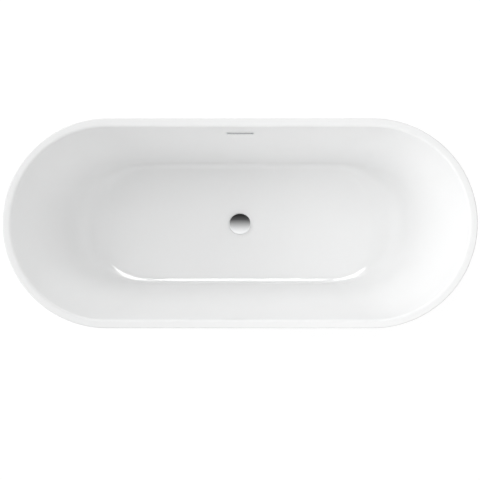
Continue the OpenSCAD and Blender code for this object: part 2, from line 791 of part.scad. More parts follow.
slot_z = rim_z - overflow_drop;
throat_length = bezel_length - 2 * bezel_face;
throat_height = bezel_height - 2 * bezel_face - 0.6;
throat_wall = 1;
slot_length = throat_length + 0.6;
slot_height = throat_height + 0.6;
bezel_t = 2;
bezel_depth = 14.5;
slot_gasket_t = 2;
housing_face = skin_t + slot_gasket_t;
housing_wall = 3;
housing_depth = 20;
housing_length = bezel_length + 20;
housing_height = bezel_height + 26;
overflow_screw_x = 28;
overflow_screw_r = 2;
screw_boss_r = throat_height / 2;
hose_lean = 13;
hose_bend_r = 90;
socket_drop = 15;
socket_depth = 2 * (barb_r + 0.6) + 4;

// At the middle of the slot, +Z points into the basin and +Y up the wall
module at_slot() {
    translate([0, side_at(slot_z, 0), slot_z]) rotate([90 - side_tilt, 0, 0]) children();
}

// A slot with round ends, from z = 0 up
module slot_prism(length, height, h) {
    for (side = [-1, 1]) translate([side * (length - height) / 2, 0, 0]) cylinder(r = height / 2, h = h, $fn = 48);
    translate([-(length - height) / 2, -height / 2, 0]) cube([length - height, height, h]);
}

module overflow_bezel() {
    color("silver") at_slot() {
        difference() {
            union() {
                slot_prism(bezel_length, bezel_height, bezel_t);
                translate([0, 0, -bezel_depth]) slot_prism(throat_length, throat_height, bezel_depth + 1);
            }
            translate([0, 0, -bezel_depth - 1])
                slot_prism(throat_length - 2 * throat_wall, throat_height - 2 * throat_wall, bezel_depth + bezel_t + 2);
        }
        for (side = [-1, 1]) translate([side * overflow_screw_x, 0, -bezel_depth]) difference() {
            cylinder(r = screw_boss_r - 0.3, h = 9);
            translate([0, 0, -1]) cylinder(r = overflow_screw_r + fit_gap, h = 8);
        }
    }
}

module overflow_gasket() {
    color("#333333") at_slot() translate([0, 0, -housing_face]) difference() {
        slot_prism(bezel_length + 10, bezel_height + 10, slot_gasket_t);
        translate([0, 0, -1]) slot_prism(slot_length, slot_height, slot_gasket_t + 2);
    }
}

// Where the hose leaves the housing, and where it lies along its way down
socket_y = -housing_height / 2 - socket_drop;
socket_z = -housing_face - socket_depth / 2 - 2;
hose_top_y = side_at(slot_z, 0) + socket_y * sin(side_tilt) - socket_z * cos(side_tilt);
hose_top_z = slot_z + socket_y * cos(side_tilt) + socket_z * sin(side_tilt);
hose_bend_z = hose_z + hose_bend_r * (1 - sin(hose_lean));
hose_run = (hose_top_z - hose_bend_z) / cos(hose_lean);
hose_bend_y = hose_top_y - hose_run * sin(hose_lean);
hose_centre_y = hose_bend_y - hose_bend_r * cos(hose_lean);
hose_inner_y = chamber_r + 8;
barb_out = 24;       // length of the housing's barb
hose_gap = 2;        // gap between the socket and the hose's end

module at_hose_top() {
    translate([0, hose_top_y, hose_top_z]) rotate([-hose_lean, 0, 0]) children();
}

module overflow_housing() {
    wall = housing_wall;
    color("#444444") difference() {
        union() {
            at_slot() {
                translate([-housing_length / 2, -housing_height / 2, -housing_face - housing_depth])
                    cube([housing_length, housing_height, housing_depth]);
                translate([-barb_r - 3, socket_y, -housing_face - socket_depth])
                    cube([2 * barb_r + 6, socket_drop + 10, socket_depth - 0.5]);
            }
            at_hose_top() translate([0, 0, -barb_out]) cylinder(r = barb_r, h = barb_out + 4);
        }
        at_slot() {
            translate([-housing_length / 2 + wall, -housing_height / 2 + wall, -housing_face - housing_depth + wall])
                cube([housing_length - 2 * wall, housing_height - 2 * wall, housing_depth - 2 * wall]);
            translate([0, 0, -housing_face - wall - 1]) slot_prism(slot_length, slot_height, wall + 2);
            for (side = [-1, 1]) translate([side * overflow_screw_x, 0, -housing_face - housing_depth - 1])
                cylinder(r = overflow_screw_r + fit_gap, h = wall + 2);
            translate([-barb_r + 3, socket_y + 6, -housing_face - housing_depth + wall])
                cube([2 * barb_r - 6, socket_drop + 2, housing_depth - 2 * wall]);
        }
        at_hose_top() translate([0, 0, -barb_out - 1]) cylinder(r = inlet_bore_r - 2, h = barb_out + 11);
    }
}

module overflow_screws() {
    back = housing_face + housing_depth;
    color("lightgray") at_slot() for (side = [-1, 1])
        translate([side * overflow_screw_x, 0, -back]) pan_screw(overflow_screw_r, back - bezel_depth + 6);
}

module hose_solid(r, extra) {
    at_hose_top() translate([0, 0, -hose_run]) cylinder(r = r, h = hose_run - hose_gap + extra);
    translate([0, hose_centre_y, hose_z + hose_bend_r]) rotate([90, 0, 90]) rotate(-90)
        rotate_extrude(angle = 90 - hose_lean) translate([hose_bend_r, 0]) circle(r);
    translate([0, hose_inner_y - extra, hose_z]) rotate([-90, 0, 0]) cylinder(r = r, h = hose_centre_y - hose_inner_y + extra);
}

// The hose's joint cuff sits where its straight run meets the bend
module overflow_hose() {
    cuff_h = 6;
    color("lightgray") difference() {
        union() {
            hose_solid(hose_r, 0);
            at_hose_top() translate([0, 0, -hose_run - cuff_h / 2]) cylinder(r = hose_r + 0.8, h = cuff_h);
        }
        hose_solid(hose_bore_r, 1);
        at_hose_top() translate([0, 0, -hose_run - cuff_h / 2 + 1]) cylinder(r = hose_bore_r + 0.3, h = cuff_h - 2);
    }
}

module clamp() {
    clamp_h = 10;
    difference() {
        union() {
            cylinder(r = hose_r + 0.9, h = clamp_h);
            translate([hose_r - 1, -7, 1]) cube([6, 14, clamp_h - 2]);
        }
        translate([0, 0, -1]) cylinder(r = hose_r + fit_gap, h = clamp_h + 2);
    }
}

module hose_clamps() {
    color("silver") {
        at_hose_top() translate([0, 0, -hose_gap - 16]) clamp();
        translate([0, hose_inner_y + 6, hose_z]) rotate([-90, 0, 0]) clamp();
    }
}

tub_liner();
glassfibre_backing();
base_board();
outer_skirt();
rim_adhesive();
skirt_band();
cross_tube_left();
cross_tube_right();
rail_front();
rail_back();
tube_end_caps();
frame_screws();
weld_nuts();
lock_nuts();
skirt_brackets();
bracket_screws();
foot_pad_left_front();
foot_pad_left_back();
foot_pad_right_front();
foot_pad_right_back();
foot_sole_left_front();
foot_sole_left_back();
foot_sole_right_front();
foot_sole_right_back();
foot_stud_left_front();
foot_stud_left_back();
foot_stud_right_front();
foot_stud_right_back();
waste_cap();
cap_seal();
plunger_stem();
plunger_spring();
click_cartridge();
waste_flange();
flange_gasket();
body_gasket();
waste_body();
union_nuts();
union_washers();
trap_bend();
trap_outlet();
overflow_bezel();
overflow_gasket();
overflow_housing();
overflow_screws();
overflow_hose();
hose_clamps();
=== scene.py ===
"""Looks of a freestanding acrylic bathtub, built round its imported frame.

+Z is up, +X runs along the tub, and the overflow is on the +Y side. Every sub-assembly is a class
that holds its sizes in millimetres, builds its meshes and puts them on the bodies they move with.
"""

from __future__ import annotations

import json
import logging
import math
import sys
from dataclasses import dataclass, field
from enum import Enum
from typing import Any, Callable, Iterable, Sequence

import bmesh
import bpy
from mathutils import Matrix, Vector

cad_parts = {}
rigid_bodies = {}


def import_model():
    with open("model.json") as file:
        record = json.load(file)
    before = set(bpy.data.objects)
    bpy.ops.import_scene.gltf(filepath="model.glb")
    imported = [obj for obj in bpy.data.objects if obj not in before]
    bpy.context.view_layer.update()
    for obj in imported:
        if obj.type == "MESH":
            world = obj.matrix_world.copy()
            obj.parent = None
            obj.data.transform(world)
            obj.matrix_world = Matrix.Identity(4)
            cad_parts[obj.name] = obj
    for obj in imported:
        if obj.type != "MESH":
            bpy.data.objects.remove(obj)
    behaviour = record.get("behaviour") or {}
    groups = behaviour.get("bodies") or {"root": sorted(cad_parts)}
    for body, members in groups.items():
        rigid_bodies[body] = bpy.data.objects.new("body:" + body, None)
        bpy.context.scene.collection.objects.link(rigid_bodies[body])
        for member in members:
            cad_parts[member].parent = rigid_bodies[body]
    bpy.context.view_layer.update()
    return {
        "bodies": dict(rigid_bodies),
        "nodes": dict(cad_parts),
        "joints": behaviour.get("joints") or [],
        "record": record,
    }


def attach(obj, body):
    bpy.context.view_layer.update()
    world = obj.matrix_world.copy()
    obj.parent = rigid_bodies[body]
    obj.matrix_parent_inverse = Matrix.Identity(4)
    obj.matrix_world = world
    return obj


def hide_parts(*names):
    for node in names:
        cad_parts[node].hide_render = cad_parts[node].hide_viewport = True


LOG = logging.getLogger("bathtub")

MM = 0.001
CREASE = math.radians(35)
LEVEL = math.radians(0.5)
SAME_PLACE = 1e-6
SIDES = (-1, 1)
CORNERS = ((-1, -1), (1, -1), (1, 1), (-1, 1))
UP = (0.0, 0.0, 1.0)

Pair = tuple[float, float]
Point = tuple[float, float, float]
Colour = tuple[float, float, float]
Oval = tuple[float, float, float, float]
Socket = bpy.types.NodeSocket
Piece = bpy.types.Object


# ---------------------------------------------------------------- node trees


class Graph:
    """Short calls for adding nodes to a tree and joining them."""

    def __init__(self, tree: bpy.types.NodeTree) -> None:
        """Wraps a tree.

        Args:
            tree: the shader or geometry tree that the calls add to.
        """
        self.tree = tree
        self.entry: Any = {}
        self.exit: Any = {}

    def node(self, kind: str, sockets: dict[Any, Any] | None = None, **settings: Any) -> bpy.types.Node:
        """Adds a node.

        Args:
            kind: the node's type name.
            sockets: input name or index against a value or another node's output.
            **settings: the node's own properties.

        Returns:
            The new node.
        """
        made = self.tree.nodes.new(kind)
        for name, value in settings.items():
            setattr(made, name, value)
        for key, value in (sockets or {}).items():
            self.feed(made.inputs[key], value)
        return made

    def feed(self, socket: Socket, value: Any) -> None:
        """Links or sets a socket.

        Args:
            socket: the input.
            value: an output to link it to, or a plain value.
        """
        if isinstance(value, Socket):
            self.tree.links.new(value, socket)
        else:
            socket.default_value = value

    def math(self, operation: str, *values: Any) -> Socket:
        """Adds a Math node and returns its output."""
        return self.node("ShaderNodeMath", dict(enumerate(values)), operation=operation).outputs[0]

    def vector(self, operation: str, *values: Any) -> Socket:
        """Adds a Vector Math node and returns its vector output."""
        return self.node("ShaderNodeVectorMath", dict(enumerate(values)), operation=operation).outputs[0]

    def times(self, first: Any, second: Any) -> Socket:
        """Multiplies two values."""
        return self.math("MULTIPLY", first, second)

    def plus(self, first: Any, second: Any) -> Socket:
        """Adds two values."""
        return self.math("ADD", first, second)

    def minus(self, first: Any, second: Any) -> Socket:
        """Takes the second value from the first."""
        return self.math("SUBTRACT", first, second)

    def shared(self, first: Any, share: float, second: Any) -> Socket:
        """Adds the first value's share to the rest's share of the second."""
        return self.plus(self.times(first, share), self.times(second, 1.0 - share))

    def parts(self, vector: Any) -> Any:
        """Splits a vector and returns its X, Y and Z outputs."""
        return self.node("ShaderNodeSeparateXYZ", {0: vector}).outputs

    def joined(self, x: Any = 0.0, y: Any = 0.0, z: Any = 0.0) -> Socket:
        """Joins X, Y and Z to a vector."""
        return self.node("ShaderNodeCombineXYZ", {"X": x, "Y": y, "Z": z}).outputs[0]

    def span(self, value: Any, low: float, high: float, start: Any = 0.0, end: Any = 1.0) -> Socket:
        """Maps a value from low..high to start..end, clamped.

        Args:
            value: the value or output to map.
            low: the value that becomes start.
            high: the value that becomes end.
            start: the first result.
            end: the last result.

        Returns:
            The mapped value's output.
        """
        sockets = {"Value": value, "From Min": low, "From Max": high, "To Min": start, "To Max": end}
        return self.node("ShaderNodeMapRange", sockets).outputs[0]

    def blend(self, factor: Any, first: Any, second: Any) -> Socket:
        """Mixes two colours.

        Args:
            factor: the share of the second.
            first: a colour or an output.
            second: a colour or an output.

        Returns:
            The mixed colour's output.
        """
        mixed = self.node("ShaderNodeMix", data_type="RGBA")
        for index, value in ((0, factor), (6, first), (7, second)):
            self.feed(mixed.inputs[index], value)
        return mixed.outputs[2]


def new_group(
    name: str, kind: str, inputs: Sequence[tuple[str, str, Any]], outputs: Sequence[tuple[str, str]]
) -> Graph:
    """Starts a node group with named sockets.

    Args:
        name: the group's name.
        kind: "ShaderNodeTree" or "GeometryNodeTree".
        inputs: name, socket type and default of each input.
        outputs: name and socket type of each output.

    Returns:
        The group's graph, with its input and output nodes in place.
    """
    tree = bpy.data.node_groups.new(name, kind)
    for title, socket_type, default in inputs:
        socket = tree.interface.new_socket(title, in_out="INPUT", socket_type=socket_type)
        if default is not None:
            socket.default_value = default
    for title, socket_type in outputs:
        tree.interface.new_socket(title, in_out="OUTPUT", socket_type=socket_type)
    graph = Graph(tree)
    graph.entry = tree.nodes.new("NodeGroupInput").outputs
    graph.exit = tree.nodes.new("NodeGroupOutput").inputs
    return graph


def new_material(name: str) -> tuple[bpy.types.Material, Graph]:
    """Starts a material.

    Args:
        name: the material's name.

    Returns:
        The material and the graph of its tree, which is still empty.
    """
    material = bpy.data.materials.new(name)
    material.use_nodes = True
    material.node_tree.nodes.clear()
    return material, Graph(material.node_tree)


class Recipe:
    """A geometry tree with named inputs, which is run on a mesh and leaves plain mesh."""

    kinds: dict[type, str] = {
        float: "NodeSocketFloat", int: "NodeSocketInt", tuple: "NodeSocketVector",
        type(None): "NodeSocketObject",
    }

    def __init__(self, name: str, **sizes: Any) -> None:
        """Starts the tree.

        Args:
            name: the tree's name.
            **sizes: each input's default, with _ for a space in its name. None stands for an object.
        """
        asked = [(self.title(key), self.kinds[type(value)], value) for key, value in sizes.items()]
        whole = [("Geometry", "NodeSocketGeometry", None), *asked, ("Material", "NodeSocketMaterial", None)]
        self.graph = new_group(name, "GeometryNodeTree", whole, [("Geometry", "NodeSocketGeometry")])
        self.inputs = self.graph.entry

    @staticmethod
    def title(key: str) -> str:
        """An input's name in the tree."""
        return key.replace("_", " ").title()

    def close(self, geometry: Socket) -> Recipe:
        """Ends the tree with real geometry in its material.

        Args:
            geometry: what the tree has made.

        Returns:
            The recipe.
        """
        real = self.graph.node("GeometryNodeRealizeInstances", {0: geometry})
        sockets = {"Geometry": real.outputs[0], "Material": self.inputs["Material"]}
        painted = self.graph.node("GeometryNodeSetMaterial", sockets)
        self.graph.feed(self.graph.exit["Geometry"], painted.outputs[0])
        return self

    def run(self, piece: Piece, material: bpy.types.Material, **sizes: Any) -> Piece:
        """Runs the tree on a piece's mesh.

        Args:
            piece: the mesh that the tree starts from.
            material: what the result is made of.
            **sizes: values of the named inputs, with _ for a space.

        Returns:
            The piece, with the result as its own plain mesh.
        """
        modifier = piece.modifiers.new(self.graph.tree.name, "NODES")
        modifier.node_group = self.graph.tree
        given = {"Material": material, **{self.title(key): value for key, value in sizes.items()}}
        for item in self.graph.tree.interface.items_tree:
            if item.in_out == "INPUT" and item.name in given:
                modifier[item.identifier] = given.pop(item.name)
        if given:
            raise ValueError(f"{self.graph.tree.name} has no input {sorted(given)}")
        apply_modifiers(piece)
        piece.data.materials.clear()
        piece.data.materials.append(material)
        return piece


class RecipeBook:
    """The geometry trees that the sub-assemblies share, each built by its own method at first use."""

    def __init__(self) -> None:
        """Starts with no tree built."""
        self._made: dict[str, Recipe] = {}

    def get(self, name: str) -> Recipe:
        """Finds a recipe, and builds it at first use.

        Args:
            name: the recipe's name.

        Returns:
            The recipe.
        """
        if name not in self._made:
            self._made[name] = getattr(self, f"_{name}")()
        return self._made[name]

    @staticmethod
    def _grid(graph: Graph, given: Any) -> tuple[Socket, Socket, Socket]:
        """A unit grid of Rows by Sides, for a recipe to roll up.

        Args:
            graph: the recipe's graph.
            given: the recipe's inputs, with Rows and Sides among them.

        Returns:
            The grid, and how far along it (from 0 to 1) and across it (from -0.5 to 0.5) each point lies.
        """
        across = graph.plus(given["Sides"], 1.0)
        sockets = {"Size X": 1.0, "Size Y": 1.0, "Vertices X": given["Rows"], "Vertices Y": across}
        grid = graph.node("GeometryNodeMeshGrid", sockets)
        place = graph.parts(graph.node("GeometryNodeInputPosition").outputs[0])
        return grid.outputs[0], graph.plus(place["X"], 0.5), place["Y"]

    @staticmethod
    def _rolled(graph: Graph, grid: Socket, places: Socket, gap: float) -> Socket:
        """Rolls a grid up.

        Args:
            graph: the recipe's graph.
            grid: the grid.
            places: where each of its points goes.
            gap: how close two points are that become one, in metres.

        Returns:
            The rolled mesh.
        """
        shaped = graph.node("GeometryNodeSetPosition", {"Geometry": grid, "Position": places})
        merged = graph.node("GeometryNodeMergeByDistance", {"Geometry": shaped.outputs[0], "Distance": gap})
        return merged.outputs[0]

    @staticmethod
    def _round_the_tub() -> Recipe:
        """A closed profile swept round two half circles and two straights."""
        recipe = Recipe("round_the_tub", base_radius=0.3, half_straight=0.475, points=256)
        graph, given = recipe.graph, recipe.inputs
        sockets = {"Resolution": given["Points"], "Radius": given["Base Radius"]}
        circle = graph.node("GeometryNodeCurvePrimitiveCircle", sockets)
        half_step = graph.joined(z=graph.math("DIVIDE", math.pi, given["Points"]))
        turned = graph.node("GeometryNodeTransform", {"Geometry": circle.outputs[0], "Rotation": half_step})
        x = graph.parts(graph.node("GeometryNodeInputPosition").outputs[0])["X"]
        shift = graph.joined(x=graph.times(graph.math("SIGN", x), given["Half Straight"]))
        path = graph.node("GeometryNodeSetPosition", {"Geometry": turned.outputs[0], "Offset": shift})
        profile = graph.node("GeometryNodeMeshToCurve", {"Mesh": given["Geometry"]})
        sockets = {"Curve": path.outputs[0], "Profile Curve": profile.outputs[0]}
        return recipe.close(graph.node("GeometryNodeCurveToMesh", sockets).outputs[0])

    @staticmethod
    def _set_at_points() -> Recipe:
        """A unit part set at every point, with its +Z along the point's axis."""
        recipe = Recipe("set_at_points", unit=None)
        graph, given = recipe.graph, recipe.inputs
        unit = graph.node("GeometryNodeObjectInfo", {"Object": given["Unit"]}).outputs["Geometry"]
        axis = graph.node("GeometryNodeInputNamedAttribute", {"Name": "axis"}, data_type="FLOAT_VECTOR")
        aligned = graph.node("FunctionNodeAlignRotationToVector", {"Vector": axis.outputs[0]}, axis="Z")
        sockets = {"Points": given["Geometry"], "Instance": unit, "Rotation": aligned.outputs[0]}
        return recipe.close(graph.node("GeometryNodeInstanceOnPoints", sockets).outputs[0])

    @staticmethod
    def _threaded_rod() -> Recipe:
        """A grid rolled round Z whose radius follows a right-hand thread, with closed ends."""
        recipe = Recipe(
            "threaded_rod", root=0.005, crest=0.006, pitch=0.00175, start=0.0, length=0.1,
            rows=400, sides=24, across=(0, 0, 0),
        )
        graph, given = recipe.graph, recipe.inputs
        grid, along, side = RecipeBook._grid(graph, given)
        turned = graph.plus(side, 0.5)
        rise = graph.times(along, given["Length"])
        turns = graph.minus(graph.math("DIVIDE", rise, given["Pitch"]), turned)
        wave = graph.math("ABSOLUTE", graph.minus(graph.times(graph.math("FRACT", turns), 2.0), 1.0))
        left = graph.math("DIVIDE", graph.minus(given["Length"], rise), given["Pitch"])
        depth = graph.minus(given["Crest"], given["Root"])
        lift = graph.times(graph.times(depth, wave), graph.math("MINIMUM", left, 1.0))
        inside = graph.times(graph.math("GREATER_THAN", along, 1e-5), graph.math("LESS_THAN", along, 0.99999))
        radius = graph.times(graph.plus(given["Root"], lift), inside)
        angle = graph.times(turned, math.tau)
        rolled = graph.joined(
            graph.times(radius, graph.math("COSINE", angle)),
            graph.times(radius, graph.math("SINE", angle)),
            graph.plus(rise, given["Start"]),
        )
        places = graph.vector("ADD", rolled, given["Across"])
        return recipe.close(RecipeBook._rolled(graph, grid, places, 1e-5))

    @staticmethod
    def _ribbed_hose() -> Recipe:
        """A hose along a path: ribbed outside, smooth inside, closed at both ends."""
        recipe = Recipe(
            "ribbed_hose", outer=0.0145, bore=0.013, rib_depth=0.001, rib_pitch=0.004, plain_end=0.02,
            rows=1201, sides=40,
        )
        graph, given = recipe.graph, recipe.inputs
        path = graph.node("GeometryNodeMeshToCurve", {"Mesh": given["Geometry"]}).outputs[0]
        length = graph.node("GeometryNodeCurveLength", {"Curve": path}).outputs[0]
        grid, along, across = RecipeBook._grid(graph, given)
        first_half = graph.math("LESS_THAN", along, 0.50001)
        outside = graph.times(graph.math("GREATER_THAN", along, 1e-5), first_half)
        there = graph.minus(1.0, graph.math("ABSOLUTE", graph.minus(graph.times(along, 2.0), 1.0)))
        run = graph.times(there, length)
        inset = graph.math("MINIMUM", run, graph.minus(length, run))
        ribbed = graph.times(graph.math("GREATER_THAN", inset, given["Plain End"]), given["Rib Depth"])
        swing = graph.math("COSINE", graph.times(graph.math("DIVIDE", run, given["Rib Pitch"]), math.tau))
        dip = graph.times(ribbed, graph.minus(0.5, graph.times(swing, 0.5)))
        wall = graph.minus(graph.minus(given["Outer"], dip), given["Bore"])
        radius = graph.plus(given["Bore"], graph.times(outside, wall))
        sockets = {"Curves": path, "Factor": there}
        sampled = graph.node("GeometryNodeSampleCurve", sockets, mode="FACTOR").outputs
        side = graph.vector("CROSS_PRODUCT", sampled["Tangent"], sampled["Normal"])
        angle = graph.times(across, math.tau)
        reach = []
        for direction, turn in ((sampled["Normal"], "COSINE"), (side, "SINE")):
            sockets = {0: direction, "Scale": graph.times(radius, graph.math(turn, angle))}
            reach.append(graph.node("ShaderNodeVectorMath", sockets, operation="SCALE").outputs[0])
        places = graph.vector("ADD", sampled["Position"], graph.vector("ADD", *reach))
        return recipe.close(RecipeBook._rolled(graph, grid, places, 1e-6))

    @staticmethod
    def _wire_coil() -> Recipe:
        """Round wire wound into a left-hand coil round Z."""
        recipe = Recipe(
            "wire_coil", coil_radius=0.0054, wire_radius=0.0006, turns=5.0, height=0.012, start=0.0,
            resolution=40,
        )
        graph, given = recipe.graph, recipe.inputs
        coil = graph.node("GeometryNodeCurveSpiral", {
            "Resolution": given["Resolution"], "Rotations": given["Turns"], "Height": given["Height"],
            "Start Radius": given["Coil Radius"], "End Radius": given["Coil Radius"], "Reverse": True,
        })
        sockets = {"Geometry": coil.outputs[0], "Translation": graph.joined(z=given["Start"])}
        raised = graph.node("GeometryNodeTransform", sockets)
        sockets = {"Resolution": 12, "Radius": given["Wire Radius"]}
        wire = graph.node("GeometryNodeCurvePrimitiveCircle", sockets)
        sockets = {"Curve": raised.outputs[0], "Profile Curve": wire.outputs[0], "Fill Caps": True}
        return recipe.close(graph.node("GeometryNodeCurveToMesh", sockets).outputs[0])


# ---------------------------------------------------------------- surface patterns


class Pattern(Enum):
    """How a surface varies close up."""

    CAST = "cast sheet, faintly waved"
    MOULDED = "injection moulding"
    BRUSHED = "fine lines along the piece"
    SPANGLE = "zinc crystals"
    PLATED = "mottled plating"
    STRANDS = "chopped glass strands in resin"
    FIBRES = "pressed wood fibres"
    PLIES = "layers of veneer"
    RUBBER = "matt rubber"


class PatternLibrary:
    """Builds each pattern's node group once.

    A group gives Tint, Polish and Height, each from 0 to 1. So does the method that fills it, from the
    group's graph, the place on the piece and the pattern's scale.
    """

    def __init__(self) -> None:
        """Starts with no group built."""
        self._groups: dict[Pattern, bpy.types.NodeTree] = {}
        self._makers: dict[Pattern, Callable[[Graph, Any, Any], tuple[Any, Any, Any]]] = {
            Pattern.CAST: self._cast,
            Pattern.MOULDED: self._moulded,
            Pattern.BRUSHED: self._brushed,
            Pattern.SPANGLE: self._spangle,
            Pattern.PLATED: self._plated,
            Pattern.STRANDS: self._strands,
            Pattern.FIBRES: self._fibres,
            Pattern.PLIES: self._plies,
            Pattern.RUBBER: self._rubber,
        }

    def group(self, pattern: Pattern) -> bpy.types.NodeTree:
        """Finds a pattern's node group, and builds it at first use.

        Args:
            pattern: the pattern.

        Returns:
            The group.
        """
        if pattern not in self._groups:
            titles = ("Tint", "Polish", "Height")
            graph = new_group(
                f"{pattern.name.lower()}_surface",
                "ShaderNodeTree",
                [("Scale", "NodeSocketFloat", 100.0)],
                [(title, "NodeSocketFloat") for title in titles],
            )
            place = graph.node("ShaderNodeTexCoord").outputs["Object"]
            values = self._makers[pattern](graph, place, graph.entry["Scale"])
            for title, value in zip(titles, values):
                graph.feed(graph.exit[title], value)
            self._groups[pattern] = graph.tree
        return self._groups[pattern]

    @staticmethod
    def _noise(graph: Graph, place: Any, scale: Any, detail: float = 2.0, rough: float = 0.5) -> Socket:
        """Adds a noise texture and returns its value."""
        sockets = {"Vector": place, "Scale": scale, "Detail": detail, "Roughness": rough}
        return graph.node("ShaderNodeTexNoise", sockets).outputs["Fac"]

    @staticmethod
    def _stretched(graph: Graph, place: Any, turn: Point, size: Point) -> Socket:
        """Turns and stretches the place that a texture reads."""
        return graph.node("ShaderNodeMapping", {"Vector": place, "Rotation": turn, "Scale": size}).outputs[0]

    def _cast(self, graph: Graph, place: Any, scale: Any) -> tuple[Any, Any, Any]:
        """A long, shallow wave left by vacuum forming, with a fine haze in the gloss."""
        wave = self._noise(graph, place, scale, 1.0)
        haze = self._noise(graph, place, graph.times(scale, 14.0), 3.0)
        return graph.span(haze, 0.3, 0.7), graph.span(haze, 0.35, 0.75), graph.shared(wave, 0.96, haze)

    def _moulded(self, graph: Graph, place: Any, scale: Any) -> tuple[Any, Any, Any]:
        """The fine spark-eroded texture of a mould, with slow flow marks."""
        spark = self._noise(graph, place, scale, 2.0, 0.6)
        flow = self._noise(graph, place, graph.times(scale, 0.03), 2.0)
        return graph.span(flow, 0.3, 0.7), graph.span(flow, 0.3, 0.7), spark

    def _brushed(self, graph: Graph, place: Any, scale: Any) -> tuple[Any, Any, Any]:
        """Fine lines along X, with a slow change of shade."""
        lines = self._noise(graph, self._stretched(graph, place, (0, 0, 0), (0.03, 1, 1)), scale, 3.0, 0.7)
        smudge = self._noise(graph, place, graph.times(scale, 0.02), 3.0)
        return graph.span(lines, 0.3, 0.7), graph.span(smudge, 0.3, 0.7), lines

    def _spangle(self, graph: Graph, place: Any, scale: Any) -> tuple[Any, Any, Any]:
        """Zinc crystals, each with its own shade and gloss, and dull stains between."""
        crystals = graph.node("ShaderNodeTexVoronoi", {"Vector": place, "Scale": scale})
        shades = graph.node("ShaderNodeSeparateColor", {0: crystals.outputs["Color"]}).outputs
        stain = self._noise(graph, place, graph.times(scale, 0.15), 4.0, 0.6)
        fine = self._noise(graph, place, graph.times(scale, 6.0), 2.0)
        return graph.span(graph.shared(shades[0], 0.55, stain), 0.2, 0.8), shades[1], fine

    def _plated(self, graph: Graph, place: Any, scale: Any) -> tuple[Any, Any, Any]:
        """Bright plating with a slow, cloudy change of shade."""
        cloud = self._noise(graph, place, graph.times(scale, 0.12), 3.0)
        pits = self._noise(graph, place, scale, 3.0, 0.65)
        return graph.span(cloud, 0.35, 0.65), graph.span(pits, 0.3, 0.7), pits

    def _strands(self, graph: Graph, place: Any, scale: Any) -> tuple[Any, Any, Any]:
        """Three layers of chopped strands that cross under a skin of resin."""
        mat: Any = 0.0
        for turn in ((0.3, 0.2, 0.4), (0.1, 0.5, 1.5), (0.4, 0.1, 2.6)):
            layer = self._noise(graph, self._stretched(graph, place, turn, (0.12, 1, 1)), scale, 2.0, 0.5)
            off_line = graph.math("ABSOLUTE", graph.minus(layer, 0.5))
            mat = graph.math("MAXIMUM", mat, graph.span(off_line, 0.0, 0.09, 1.0, 0.0))
        pool = self._noise(graph, place, graph.times(scale, 0.08), 3.0)
        return graph.shared(mat, 0.55, graph.span(pool, 0.3, 0.7)), mat, graph.shared(mat, 0.5, pool)

    def _fibres(self, graph: Graph, place: Any, scale: Any) -> tuple[Any, Any, Any]:
        """Short pressed fibres that lie mostly along X."""
        chips = self._noise(graph, self._stretched(graph, place, (0, 0, 0.2), (0.35, 1, 1)), scale, 4.0, 0.65)
        cloud = self._noise(graph, place, graph.times(scale, 0.08), 2.0)
        return graph.span(graph.shared(chips, 0.7, cloud), 0.3, 0.7), chips, chips

    def _plies(self, graph: Graph, place: Any, scale: Any) -> tuple[Any, Any, Any]:
        """Veneers laid on each other, light and dark in turn, with the grain along X."""
        sockets = {"Vector": place, "Scale": graph.times(scale, 0.16), "Distortion": 0.6, "Detail": 2.0}
        wave = graph.node("ShaderNodeTexWave", sockets, wave_type="BANDS", bands_direction="Z")
        layers = wave.outputs["Fac"]
        grain = self._noise(graph, self._stretched(graph, place, (0, 0, 0), (0.06, 1, 1)), scale, 3.0, 0.6)
        return graph.shared(layers, 0.5, graph.span(grain, 0.3, 0.7)), grain, graph.shared(layers, 0.3, grain)

    def _rubber(self, graph: Graph, place: Any, scale: Any) -> tuple[Any, Any, Any]:
        """A dull skin with fine pits."""
        pits = self._noise(graph, place, scale, 4.0, 0.7)
        bloom = self._noise(graph, place, graph.times(scale, 0.06), 3.0)
        return graph.span(bloom, 0.35, 0.7), graph.span(bloom, 0.3, 0.7), pits


@dataclass(frozen=True)
class Finish:
    """A surface's colour, gloss and fine structure.

    Attributes:
        slot: the record's material slot, which also names the material.
        colour: the main colour, linear.
        shade: the colour that the pattern's Tint turns to.
        rough: roughness where the pattern's Polish is 0.
        rough_span: how much rougher it is where Polish is 1.
        metal: metallic share.
        coat: weight of the clear gloss layer.
        pattern: how the surface varies.
        scale: how fine the pattern is, per metre.
        depth: height of the pattern's bumps in metres.
        wear: how much paler or brighter the edges are rubbed.
        dust: how much dust lies on faces that look up.
        ior: index of refraction.
    """

    slot: str
    colour: Colour
    shade: Colour
    rough: float
    rough_span: float = 0.1
    metal: float = 0.0
    coat: float = 0.0
    pattern: Pattern = Pattern.MOULDED
    scale: float = 900.0
    depth: float = 0.00002
    wear: float = 0.0
    dust: float = 0.0
    ior: float = 1.5


